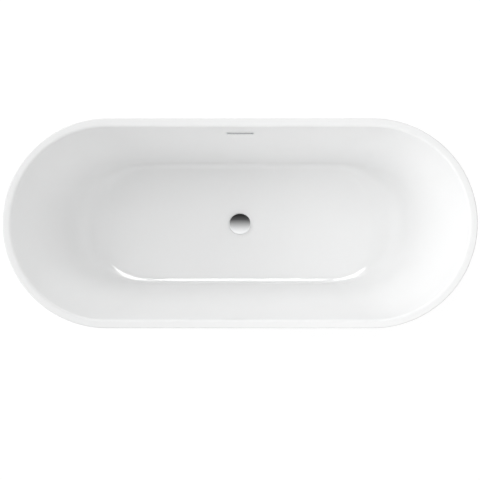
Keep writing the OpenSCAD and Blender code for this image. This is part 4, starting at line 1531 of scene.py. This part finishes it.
        band = [
            (self.band_r + ease, self.band_top), (self.band_r, eased_top),
            (self.band_r, eased_foot), (self.band_r + ease, band_foot),
            (face[0][0] - ease, band_foot), (self.skirt_at(eased_foot) - gap, eased_foot), *face[1:-1],
            (self.skirt_at(eased_top) - gap, eased_top), (face[-1][0] - ease, self.band_top),
        ]
        self.sweep("foot_band", "skirt_band", band)

    def sweep(self, name: str, node: str, profile: Sequence[Pair]) -> None:
        """Sweeps a profile round the tub and books the piece.

        Args:
            name: the piece's name.
            node: the CAD node that it replaces.
            profile: closed (radius, height) line.
        """
        base = 300.0
        path = polyline(name, [(radius - base, -height, 0.0) for radius, height in profile], closed=True)
        slot = self.shop.slots[node]
        sizes = {"base_radius": base * MM, "half_straight": self.straight * MM, "points": 256}
        self.shop.make("round_the_tub", path, slot, **sizes)
        self.shop.book(tidied(path), "tub", slot, [node])

    def slot_tool(self) -> Piece:
        """A bar with round ends, square through the wall at the overflow."""
        length, height = self.slot_size
        end = arc(((length - height) / 2, 0.0), height / 2, -90.0, 90.0, 16)
        outline = [*end, *((-x, -y) for x, y in end)]
        return bar("slot_tool", outline, -self.slot_reach, self.slot_reach, self.slot_frame())

    def slot_frame(self) -> Matrix:
        """The overflow's own frame: +X along the tub, +Y up the wall and +Z out into the basin."""
        turn = Matrix.Rotation(math.radians(90.0 - self.tilts[1]), 4, "X")
        return Matrix.Translation((0.0, *self.slot_place)) @ turn


# ---------------------------------------------------------------- steel frame


@dataclass
class SteelFrame:
    """The square tubes under the floor, with their caps, nuts, screws and brackets."""

    shop: Workshop
    cross_x: float = 400.0
    foot_y: float = 200.0
    frame_z: float = 130.8
    leg_z: float = 26.0
    leg_y: float = 275.3
    nut_height: float = 10.0
    lock_height: float = 8.0
    half_tube: float = 12.5
    rail_y: float = 110.0
    tube_screw_y: float = 60.0
    rail_screw_x: float = 200.0
    board_screw: float = 37.0
    bracket_y: float = 228.0
    bracket_wall: float = 3.0
    bracket_pair: Pair = (-7.0, 7.0)
    bead_step: float = 1.1
    bead_out: float = 0.9
    bead_down: float = 0.6
    bead_ring: float = 10.6

    def build(self) -> None:
        """Builds the tubes, then what is fixed to them."""
        for node, name in (
            ("cross_tube_left", "cross_member_left"), ("cross_tube_right", "cross_member_right"),
            ("rail_front", "long_rail_front"), ("rail_back", "long_rail_back"),
        ):
            self.shop.refine(node, name, 1.6, 3)
        self.shop.refine("tube_end_caps", "tube_plugs", 0.6)
        self.shop.refine("skirt_brackets", "angle_brackets", 0.7)
        self.build_nuts()
        self.build_screws()
        self.build_welds()

    def build_nuts(self) -> None:
        """Sets a weld nut and a lock nut at every foot."""
        feet = [(x * self.cross_x, y * self.foot_y) for x in SIDES for y in SIDES]
        low = self.frame_z - self.nut_height
        for node, name, z, height in (
            ("weld_nuts", "foot_weld_nuts", low, self.nut_height),
            ("lock_nuts", "foot_lock_nuts", low - self.lock_height, self.lock_height),
        ):
            places = [((x, y, z), UP) for x, y in feet]
            self.shop.stud_row(node, name, HexNut(height=height).unit(), places)

    def build_screws(self) -> None:
        """Sets the screws into the board and those of the brackets."""
        corners = [(x, y) for x in SIDES for y in SIDES]
        board = [((x * self.cross_x, y * self.tube_screw_y, self.frame_z), UP) for x, y in corners]
        board += [((x * self.rail_screw_x, y * self.rail_y, self.frame_z), UP) for x, y in corners]
        screw = PanScrew(length=self.board_screw).unit()
        self.shop.stud_row("frame_screws", "board_screws", screw, board)
        head_z = self.frame_z - self.bracket_wall
        places = [((x * self.cross_x, y * self.bracket_y, head_z), UP) for x, y in corners]
        for x, y in corners:
            for step in self.bracket_pair:
                places.append(((x * self.cross_x + step, y * self.leg_y, self.leg_z), (0.0, float(y), 0.0)))
        self.shop.stud_row("bracket_screws", "fixing_screws", PanScrew().unit(), places)

    def build_welds(self) -> None:
        """Runs a rippled bead along each joint between a rail and a cross tube, and round each weld nut."""
        units: list[Point] = []
        low, steps = self.frame_z - self.bead_down, [self.bead_step * i for i in range(21)]
        for x in SIDES:
            for y in SIDES:
                bead_x = x * (self.cross_x - self.half_tube) - x * self.bead_out
                rail_y = y * self.rail_y
                for side in SIDES:
                    bead_y = rail_y + side * (self.half_tube + self.bead_out)
                    units += [(bead_x, bead_y, self.frame_z + 1.5 + step) for step in steps]
                units += [(bead_x, rail_y - 11.0 + step, low) for step in steps]
                units += around(self.bead_ring, low, 56, (x * self.cross_x, y * self.foot_y, 0.0))
        bead = lathe("bead_unit", [(0.0, -1.3), *arc((0.0, 0.0), 1.3, -60, 60, 4), (0.0, 1.3)], 10)
        places = set_points("weld_beads", [(place, UP) for place in units])
        welds = self.shop.make("set_at_points", places, "bare_steel", unit=bead)
        bpy.data.objects.remove(bead)
        self.shop.book(shade(welds, math.radians(80)), "tub", "bare_steel")


# ---------------------------------------------------------------- levelling feet


class Foot(Enum):
    """The four feet, each with its side along X and along Y."""

    LEFT_FRONT = (-1, -1)
    LEFT_BACK = (-1, 1)
    RIGHT_FRONT = (1, -1)
    RIGHT_BACK = (1, 1)

    @property
    def tag(self) -> str:
        """The foot's name in the frame."""
        return self.name.lower()


@dataclass
class LevellingFeet:
    """A rubber sole, a moulded pad and a threaded stud at each corner of the frame."""

    shop: Workshop
    cross_x: float = 400.0
    foot_y: float = 200.0
    pad_r: float = 27.0
    ribs: int = 12
    rib_width: float = 1.6
    sole: float = 3.0
    pitch: float = 1.75
    crest: float = 6.0
    root: float = 4.95
    thread_low: float = 24.1
    top: float = 160.8
    collar: Pair = (16.1, 24.1)
    tip_r: float = 4.5
    tip_z: float = 6.1

    def build(self) -> None:
        """Builds every foot."""
        for foot in Foot:
            x, y = foot.value[0] * self.cross_x, foot.value[1] * self.foot_y
            self.build_pad(foot, (x, y, 0.0))
            self.build_stud(foot, (x, y, 0.0))

    def build_pad(self, foot: Foot, centre: Point) -> None:
        """Turns the pad with its finger ribs, and its grooved sole.

        Args:
            foot: which foot.
            centre: the foot's place on the floor.
        """
        r, low = self.pad_r, self.sole
        profile = [
            (self.tip_r + 0.1, 6.0), (0.0, 6.0), (0.0, low), (r - 0.8, low), (r, low + 0.8), (r, low + 4.0),
            (r - 0.3, low + 4.7), (r - 0.9, low + 5.3), (23.4, 11.4), (22.4, 12.3), (14.7, 14.8),
            (14.2, 15.1), (14.0, 15.5), (13.6, 15.9), (13.2, 16.0),
            (self.tip_r + 0.9, 16.0), (self.tip_r + 0.1, 15.4),
        ]
        pad = lathe("pad_turned", profile, 96, centre)
        ribs = []
        outline = [(14.2, 8.0), (14.2, 15.5), (22.6, 12.6), (24.6, 10.6), (24.6, 8.0)]
        for i in range(self.ribs):
            turn = Matrix.Translation(centre) @ Matrix.Rotation(math.tau * i / self.ribs, 4, "Z")
            half = self.rib_width / 2
            rings = [[turn @ Vector((reach, side, z)) for reach, z in outline] for side in (-half, half)]
            ribs.append(lofted("rib", rings, closed=False))
        made = fused(f"levelling_pad_{foot.tag}", [pad, *ribs])
        self.shop.book(made, f"pad_{foot.tag}", "pad_plastic", [f"foot_pad_{foot.tag}"])
        grooves = []
        for radius in (7.0, 12.0, 17.0, 22.0):
            grooves += [(radius, 0.0), (radius + 0.4, 0.9), (radius + 1.6, 0.9), (radius + 2.0, 0.0)]
        outer = r - 1.0
        sole = lathe(
            f"rubber_sole_{foot.tag}",
            [(0.0, low), (0.0, 0.0), *grooves, (outer - 0.6, 0.0), (outer, 0.6), (outer, low)], 96, centre,
        )
        self.shop.book(shade(sole), f"pad_{foot.tag}", "black_rubber", [f"foot_sole_{foot.tag}"])

    def build_stud(self, foot: Foot, centre: Point) -> None:
        """Rolls the thread, and turns the tip and the hexagon under it.

        Args:
            foot: which foot.
            centre: the foot's place on the floor.
        """
        body, tag = f"stud_{foot.tag}", foot.tag
        rod = polyline(f"stud_thread_{tag}", [(0, 0, 0), (0, 0, 1)])
        start = self.thread_low - 1.0
        length = self.top - start
        self.shop.make(
            "threaded_rod", rod, "zinc_steel", root=self.root * MM, crest=self.crest * MM,
            pitch=self.pitch * MM, start=start * MM, length=length * MM,
            rows=int(length / self.pitch * 6), sides=24, across=tuple(c * MM for c in centre),
        )
        self.shop.book(tidied(rod, math.radians(50)), body, "zinc_steel", [f"foot_stud_{tag}"])
        low, high = self.collar
        r, foot = self.tip_r, self.tip_z
        turned = [(0.0, foot), (r - 0.6, foot), (r, foot + 0.6), (r, low + 1.0), (0.0, low + 1.0)]
        tip = lathe("tip_turned", turned, 40, centre)
        nut = HexNut(height=high - low)
        rings = [[(x + centre[0], y + centre[1], z + low) for x, y, z in ring] for ring in nut.rings()[:6]]
        hexagon = lofted("hexagon", rings, closed=False)
        made = fused(f"stud_hexagon_{tag}", [tip, hexagon])
        self.shop.book(made, body, "zinc_steel")


# ---------------------------------------------------------------- waste and trap


@dataclass
class ClickWaste:
    """The click cap on its stem, the flange in the floor and the parts below it."""

    shop: Workshop
    cap_r: float = 40.0
    cap_under: float = 185.2
    cap_lip: float = 182.0
    cap_edge: float = 187.2
    dome: float = 6.0
    dome_r: float = 129.75
    stem_bore: float = 4.1
    boss_r: float = 8.0
    coil_r: float = 5.4
    wire_r: float = 0.6
    coil_z: Pair = (152.62, 164.38)
    coil_turns: float = 5.0

    def build(self) -> None:
        """Builds the plug first, then what stays in the tub."""
        self.build_cap()
        for node, name, width in (
            ("cap_seal", "sealing_ring", 0.4), ("plunger_stem", "plunger", 0.3),
            ("waste_flange", "drain_flange", 0.5), ("click_cartridge", "cartridge", 0.5),
            ("flange_gasket", "upper_gasket", 0.25), ("body_gasket", "lower_gasket", 0.8),
            ("waste_body", "drain_chamber", 0.6),
        ):
            self.shop.refine(node, name, width)
        self.build_spring()

    def build_cap(self) -> None:
        """Turns the domed cap, its rolled lip and the boss that takes the stem."""
        r, low, under = self.cap_r, self.cap_lip, self.cap_under
        centre_z = self.cap_edge + self.dome - self.dome_r
        reach = math.asin((r - 2.2) / self.dome_r)
        turns = [reach * i / 28 for i in range(29)]
        dome = [(self.dome_r * math.sin(turn), centre_z + self.dome_r * math.cos(turn)) for turn in turns]
        rim_z = dome[-1][1] - 1.1
        lip = [(r - 1.35, rim_z + 0.62), (r - 0.6, rim_z + 0.1), (r - 0.15, rim_z - 0.6), (r, rim_z - 1.4)]
        hem = [(r, low + 0.5), (r - 0.15, low + 0.15), (r - 0.5, low), (r - 3.5, low), (r - 3.9, low + 0.3)]
        boss, bore = self.boss_r, self.stem_bore
        profile = [
            *dome, *lip, *hem, (r - 4.0, low + 0.8), (r - 4.0, under), (boss, under),
            (boss, low + 0.9), (boss - 0.4, low + 0.5), (bore + 0.3, low + 0.5),
            (bore, low + 0.8), (bore, under + 3.0), (0.0, under + 3.0),
        ]
        cap = lathe("click_cap", profile, 128)
        self.shop.book(shade(cap, math.radians(40)), "plug", "chrome", ["waste_cap"])

    def build_spring(self) -> None:
        """Winds the return spring."""
        coil = polyline("return_spring", [(0, 0, 0), (0, 0, 1)])
        low, high = self.coil_z
        self.shop.make(
            "wire_coil", coil, "spring_steel", coil_radius=self.coil_r * MM, wire_radius=self.wire_r * MM,
            turns=self.coil_turns, height=(high - low) * MM, start=low * MM, resolution=36,
        )
        self.shop.book(tidied(coil, math.radians(60)), "tub", "spring_steel", ["plunger_spring"])


@dataclass
class Trap:
    """The bath trap: its bend, its outlet arm and the two union nuts."""

    shop: Workshop

    def build(self) -> None:
        """Replaces each piece of the trap by one with moulded edges."""
        for node, name, width in (
            ("union_nuts", "ribbed_union_nuts", 0.6), ("union_washers", "taper_washers", 0.4),
            ("trap_bend", "trap_u_bend", 0.5), ("trap_outlet", "outlet_arm", 0.5),
        ):
            self.shop.refine(node, name, width, 2, 40.0)


@dataclass
class Overflow:
    """The slotted bezel, the housing behind the wall and the hose down to the drain."""

    shop: Workshop
    place: Matrix
    hose_top: Pair = (339.08, 483.08)
    lean: float = 13.0
    hose_gap: float = 2.0
    straight: float = 308.95
    bend_r: float = 90.0
    hose_end: float = 38.0
    outer: float = 14.5
    bore: float = 13.0
    rib_pitch: float = 4.2
    rib_depth: float = 0.9
    cuff: float = 22.0
    screw_x: float = 28.0
    screw_depth: float = 31.2
    screw_r: float = 2.0
    screw_length: float = 22.7

    def build(self) -> None:
        """Builds the overflow from the basin's face to the drain."""
        self.shop.refine("overflow_bezel", "slot_bezel", 0.45, 3)
        self.shop.refine("overflow_gasket", "slot_gasket", 0.4)
        self.shop.refine("overflow_housing", "slot_housing", 1.2, 3, 40.0)
        self.shop.refine("hose_clamps", "worm_clamps", 0.3)
        axis = self.place.to_3x3() @ Vector((0, 0, 1))
        heads = [self.place @ Vector((x * self.screw_x, 0.0, -self.screw_depth)) for x in SIDES]
        screw = PanScrew(self.screw_r, self.screw_length).unit()
        places = [(tuple(head), tuple(axis)) for head in heads]
        self.shop.stud_row("overflow_screws", "bezel_screws", screw, places)
        self.build_hose()

    def route(self) -> list[Point]:
        """The hose's middle line, from the overflow's socket down and round to the drain."""
        lean = math.radians(self.lean)
        along = (-math.sin(lean), -math.cos(lean))
        top = self.hose_top
        points = []
        for i in range(31):
            run = self.hose_gap + (self.straight - self.hose_gap) * i / 30
            points.append((0.0, top[0] + along[0] * run, top[1] + along[1] * run))
        foot = (top[0] + along[0] * self.straight, top[1] + along[1] * self.straight)
        centre = (foot[0] - self.bend_r * math.cos(lean), foot[1] + self.bend_r * math.sin(lean))
        points += [(0.0, y, z) for y, z in arc(centre, self.bend_r, -self.lean, -90.0, 32)[1:]]
        y, z = points[-1][1:]
        points += [(0.0, y + (self.hose_end - y) * i / 14, z) for i in range(1, 15)]
        return points

    def build_hose(self) -> None:
        """Lays the ribbed hose along its route, with plain cuffs under the clamps."""
        hose = polyline("overflow_pipe", self.route())
        slot = self.shop.slots["overflow_hose"]
        self.shop.make(
            "ribbed_hose", hose, slot, outer=self.outer * MM, bore=self.bore * MM,
            rib_depth=self.rib_depth * MM, rib_pitch=self.rib_pitch * MM, plain_end=self.cuff * MM,
            rows=1801, sides=40,
        )
        self.shop.book(tidied(hose, math.radians(60)), "tub", slot, ["overflow_hose"])


# ---------------------------------------------------------------- studio


@dataclass(frozen=True)
class Lamp:
    """A soft lamp, placed round the point that it faces.

    The turn and the height of its direction and the spread of its beam are in degrees,
    its distance and its two sides in metres, its power in watts.
    """

    name: str
    turn: float
    height: float
    distance: float
    sides: Pair
    power: float
    aim: Point = (0.0, 0.0, 0.35)
    spread: float = 180.0

    def hang(self) -> None:
        """Puts the lamp in the scene, facing its aim and unseen in polished faces."""
        turn, height = math.radians(self.turn), math.radians(self.height)
        level = math.cos(height)
        away = Vector((math.cos(turn) * level, math.sin(turn) * level, math.sin(height)))
        data = bpy.data.lights.new(self.name, "AREA")
        data.shape, (data.size, data.size_y) = "RECTANGLE", self.sides
        data.energy, data.spread = self.power, math.radians(self.spread)
        lamp = linked(self.name, data)
        lamp.location = Vector(self.aim) + away * self.distance
        lamp.rotation_euler = (-away).to_track_quat("-Z", "Y").to_euler()
        lamp.visible_glossy = False


@dataclass
class Studio:
    """A pale floor, soft lamps, two cards for the gloss and a camera that looks straight down.

    The camera's and the strip's places and sizes are in metres, and the reflector card's in millimetres.
    The ramp gives the reflector card's brightness at places along Y, in metres.
    """

    camera_height: float = 20.6
    camera_y: float = -0.0597
    lens: float = 419.7
    sensor: float = 36.0
    sight: float = 100.0
    fill: float = 0.39
    floor_half: float = 6000.0
    floor_glow: float = 0.895
    lamps: tuple[Lamp, ...] = (
        Lamp("key", 140.0, 42.0, 6.0, (3.0, 3.0), 84.0),
        Lamp("side", 178.0, 16.0, 6.0, (2.2, 2.2), 118.0),
        Lamp("front", -90.0, 30.0, 6.0, (2.6, 2.6), 52.0),
        Lamp("back", 90.0, 30.0, 6.0, (2.6, 2.6), 68.0),
        Lamp("top", 0.0, 90.0, 2.0, (1.0, 1.0), 16.0, (0.7, -0.2, 0.5)),
        Lamp("grid", 0.0, 90.0, 2.2, (1.45, 0.45), 0.18, (-0.12, 0.0, 0.0), 24.0),
    )
    strip: tuple[Point, Point, float, float, float] = ((0.0, 0.98, 1.54), (0.0, -0.19, 0.2), 0.66, 1.25, 8.4)
    strip_top: float = 0.4
    card_half: float = 2600.0
    card_z: float = 2600.0
    card_ramp: tuple[Pair, ...] = (
        (-1.75, 1.0), (-1.2, 1.0), (-0.7, 0.8), (0.1, 0.35), (0.6, 0.1), (1.2, 0.03), (1.62, 0.03),
    )
    lit: bpy.types.Collection | None = field(default=None, init=False)

    def build(self) -> None:
        """Sets up the camera, the world, the floor, the lamps and the cards."""
        self.lit = bpy.data.collections.new("strip_reaches")
        self.build_camera()
        self.build_world()
        self.build_floor()
        for lamp in self.lamps:
            lamp.hang()
        self.build_card()
        self.build_strip()
        bpy.context.scene.view_settings.view_transform = "Standard"

    def build_camera(self) -> None:
        """Hangs a long lens over the tub, with the +Y side at the top."""
        data = bpy.data.cameras.new("camera")
        data.lens, data.sensor_width, data.clip_end = self.lens, self.sensor, self.sight
        camera = linked("camera", data)
        camera.location = (0.0, self.camera_y, self.camera_height)
        bpy.context.scene.camera = camera

    @staticmethod
    def _seen(graph: Graph) -> Socket:
        """1 for rays that see the background straight, in a gloss or through glass."""
        path = graph.node("ShaderNodeLightPath").outputs
        straight = graph.math("MAXIMUM", path["Is Camera Ray"], path["Is Glossy Ray"])
        return graph.math("MAXIMUM", straight, path["Is Transmission Ray"])

    @staticmethod
    def _ray_start(graph: Graph) -> Socket:
        """Height in metres that the ray which meets a card comes from."""
        geometry = graph.node("ShaderNodeNewGeometry").outputs
        here = graph.parts(geometry["Position"])["Z"]
        back = graph.parts(geometry["Incoming"])["Z"]
        length = graph.node("ShaderNodeLightPath").outputs["Ray Length"]
        return graph.math("MULTIPLY_ADD", back, length, here)

    def build_world(self) -> None:
        """White where it is seen, and a plain even fill on the object."""
        world = bpy.data.worlds.new("studio")
        world.use_nodes = True
        graph = Graph(world.node_tree)
        graph.tree.nodes.clear()
        fill = graph.node("ShaderNodeBackground", {"Color": (1, 1, 1, 1), "Strength": self.fill})
        white = graph.node("ShaderNodeBackground", {"Color": (1, 1, 1, 1), "Strength": 1.0})
        sockets = {0: self._seen(graph), 1: fill.outputs[0], 2: white.outputs[0]}
        mixed = graph.node("ShaderNodeMixShader", sockets)
        graph.node("ShaderNodeOutputWorld", {"Surface": mixed.outputs[0]})
        bpy.context.scene.world = world

    def build_floor(self) -> None:
        """A wide pale floor that looks white, takes a faint shadow and is clear from below."""
        half = self.floor_half
        floor = mesh_object("floor", [(x * half, y * half, 0.0) for x, y in CORNERS], [(0, 1, 2, 3)])
        material, graph = new_material("pale_floor")
        plain = graph.node("ShaderNodeBsdfDiffuse", {"Color": (0.8, 0.8, 0.8, 1)})
        tint = graph.node("ShaderNodeBsdfDiffuse", {"Color": (0.16, 0.16, 0.16, 1)})
        glow = graph.node("ShaderNodeEmission", {"Color": (1, 1, 1, 1), "Strength": self.floor_glow})
        bright = graph.node("ShaderNodeAddShader", {0: tint.outputs[0], 1: glow.outputs[0]})
        sockets = {0: self._seen(graph), 1: plain.outputs[0], 2: bright.outputs[0]}
        mixed = graph.node("ShaderNodeMixShader", sockets)
        behind = graph.node("ShaderNodeNewGeometry").outputs["Backfacing"]
        clear = graph.node("ShaderNodeBsdfTransparent")
        glass = graph.node("ShaderNodeMixShader", {0: behind, 1: mixed.outputs[0], 2: clear.outputs[0]})
        graph.node("ShaderNodeOutputMaterial", {"Surface": glass.outputs[0]})
        floor.data.materials.append(material)

    def light(self, *pieces: Piece) -> None:
        """Lets the strip reach these pieces."""
        for piece in pieces:
            self.lit.objects.link(piece)

    def build_card(self) -> None:
        """A shaded card overhead that shows in every gloss, dark over +Y and white over -Y."""
        low, high = self.card_ramp[0][0], self.card_ramp[-1][0]
        corners = [(x * self.card_half, (low if y > 0 else high) / MM, self.card_z) for x, y in CORNERS]
        card = mesh_object("reflector_card", corners, [(0, 1, 2, 3)])
        material, graph = new_material("shaded_card")
        y = graph.parts(graph.node("ShaderNodeTexCoord").outputs["Object"])["Y"]
        ramp = graph.node("ShaderNodeValToRGB", {"Fac": graph.span(y, low, high)})
        stops = ramp.color_ramp.elements
        while len(stops) < len(self.card_ramp):
            stops.new(0.5)
        for stop, (where, level) in zip(stops, self.card_ramp):
            stop.position = (where - low) / (high - low)
            stop.color = (level, level, level, 1.0)
        glow = graph.node("ShaderNodeEmission", {"Color": ramp.outputs["Color"], "Strength": 1.0})
        graph.node("ShaderNodeOutputMaterial", {"Surface": glow.outputs[0]})
        self._stage_card(card, material)

    def build_strip(self) -> None:
        """A bright strip over the +Y side, which shows only in the first gloss of the basin's lower part."""
        place, aim, length, height, strength = self.strip
        facing = (Vector(aim) - Vector(place)).normalized()
        along, up = Vector((length / 2, 0.0, 0.0)), facing.cross(Vector((height / 2, 0.0, 0.0)))
        corners = [(Vector(place) + side * along + end * up) / MM for side, end in CORNERS]
        strip = mesh_object("strip_card", corners, [(0, 1, 2, 3)])
        material, graph = new_material("bright_strip")
        depth = graph.node("ShaderNodeLightPath").outputs["Ray Depth"]
        first = graph.math("LESS_THAN", depth, 1.5)
        low = graph.math("LESS_THAN", self._ray_start(graph), self.strip_top)
        seen = graph.times(graph.times(first, low), strength)
        glow = graph.node("ShaderNodeEmission", {"Color": (1, 1, 1, 1), "Strength": seen})
        clear = graph.node("ShaderNodeBsdfTransparent")
        added = graph.node("ShaderNodeAddShader", {0: clear.outputs[0], 1: glow.outputs[0]})
        graph.node("ShaderNodeOutputMaterial", {"Surface": added.outputs[0]})
        strip.light_linking.receiver_collection = self.lit
        self._stage_card(strip, material)

    @staticmethod
    def _stage_card(card: Piece, material: bpy.types.Material) -> None:
        """Ends a card, which only glossy rays see and which doesn't count as a lamp.

        Args:
            card: the card's mesh object.
            material: its glow.
        """
        material.cycles.emission_sampling = "NONE"
        card.data.materials.append(material)
        card.visible_camera = card.visible_diffuse = card.visible_shadow = card.visible_transmission = False


# ---------------------------------------------------------------- assembly


def main() -> None:
    """Loads the frame, sets up the studio, builds every sub-assembly and lets the strip reach the basin."""
    logging.basicConfig(level=logging.INFO, format="%(message)s", stream=sys.stdout)
    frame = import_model()
    studio = Studio()
    studio.build()
    shop = Workshop(frame)
    shells = Shells(shop)
    shells.build()
    SteelFrame(shop).build()
    LevellingFeet(shop).build()
    ClickWaste(shop).build()
    Trap(shop).build()
    Overflow(shop, shells.slot_frame()).build()
    shop.dress_frame()
    studio.light(bpy.data.objects["basin_liner"])


if __name__ == "__main__":
    main()
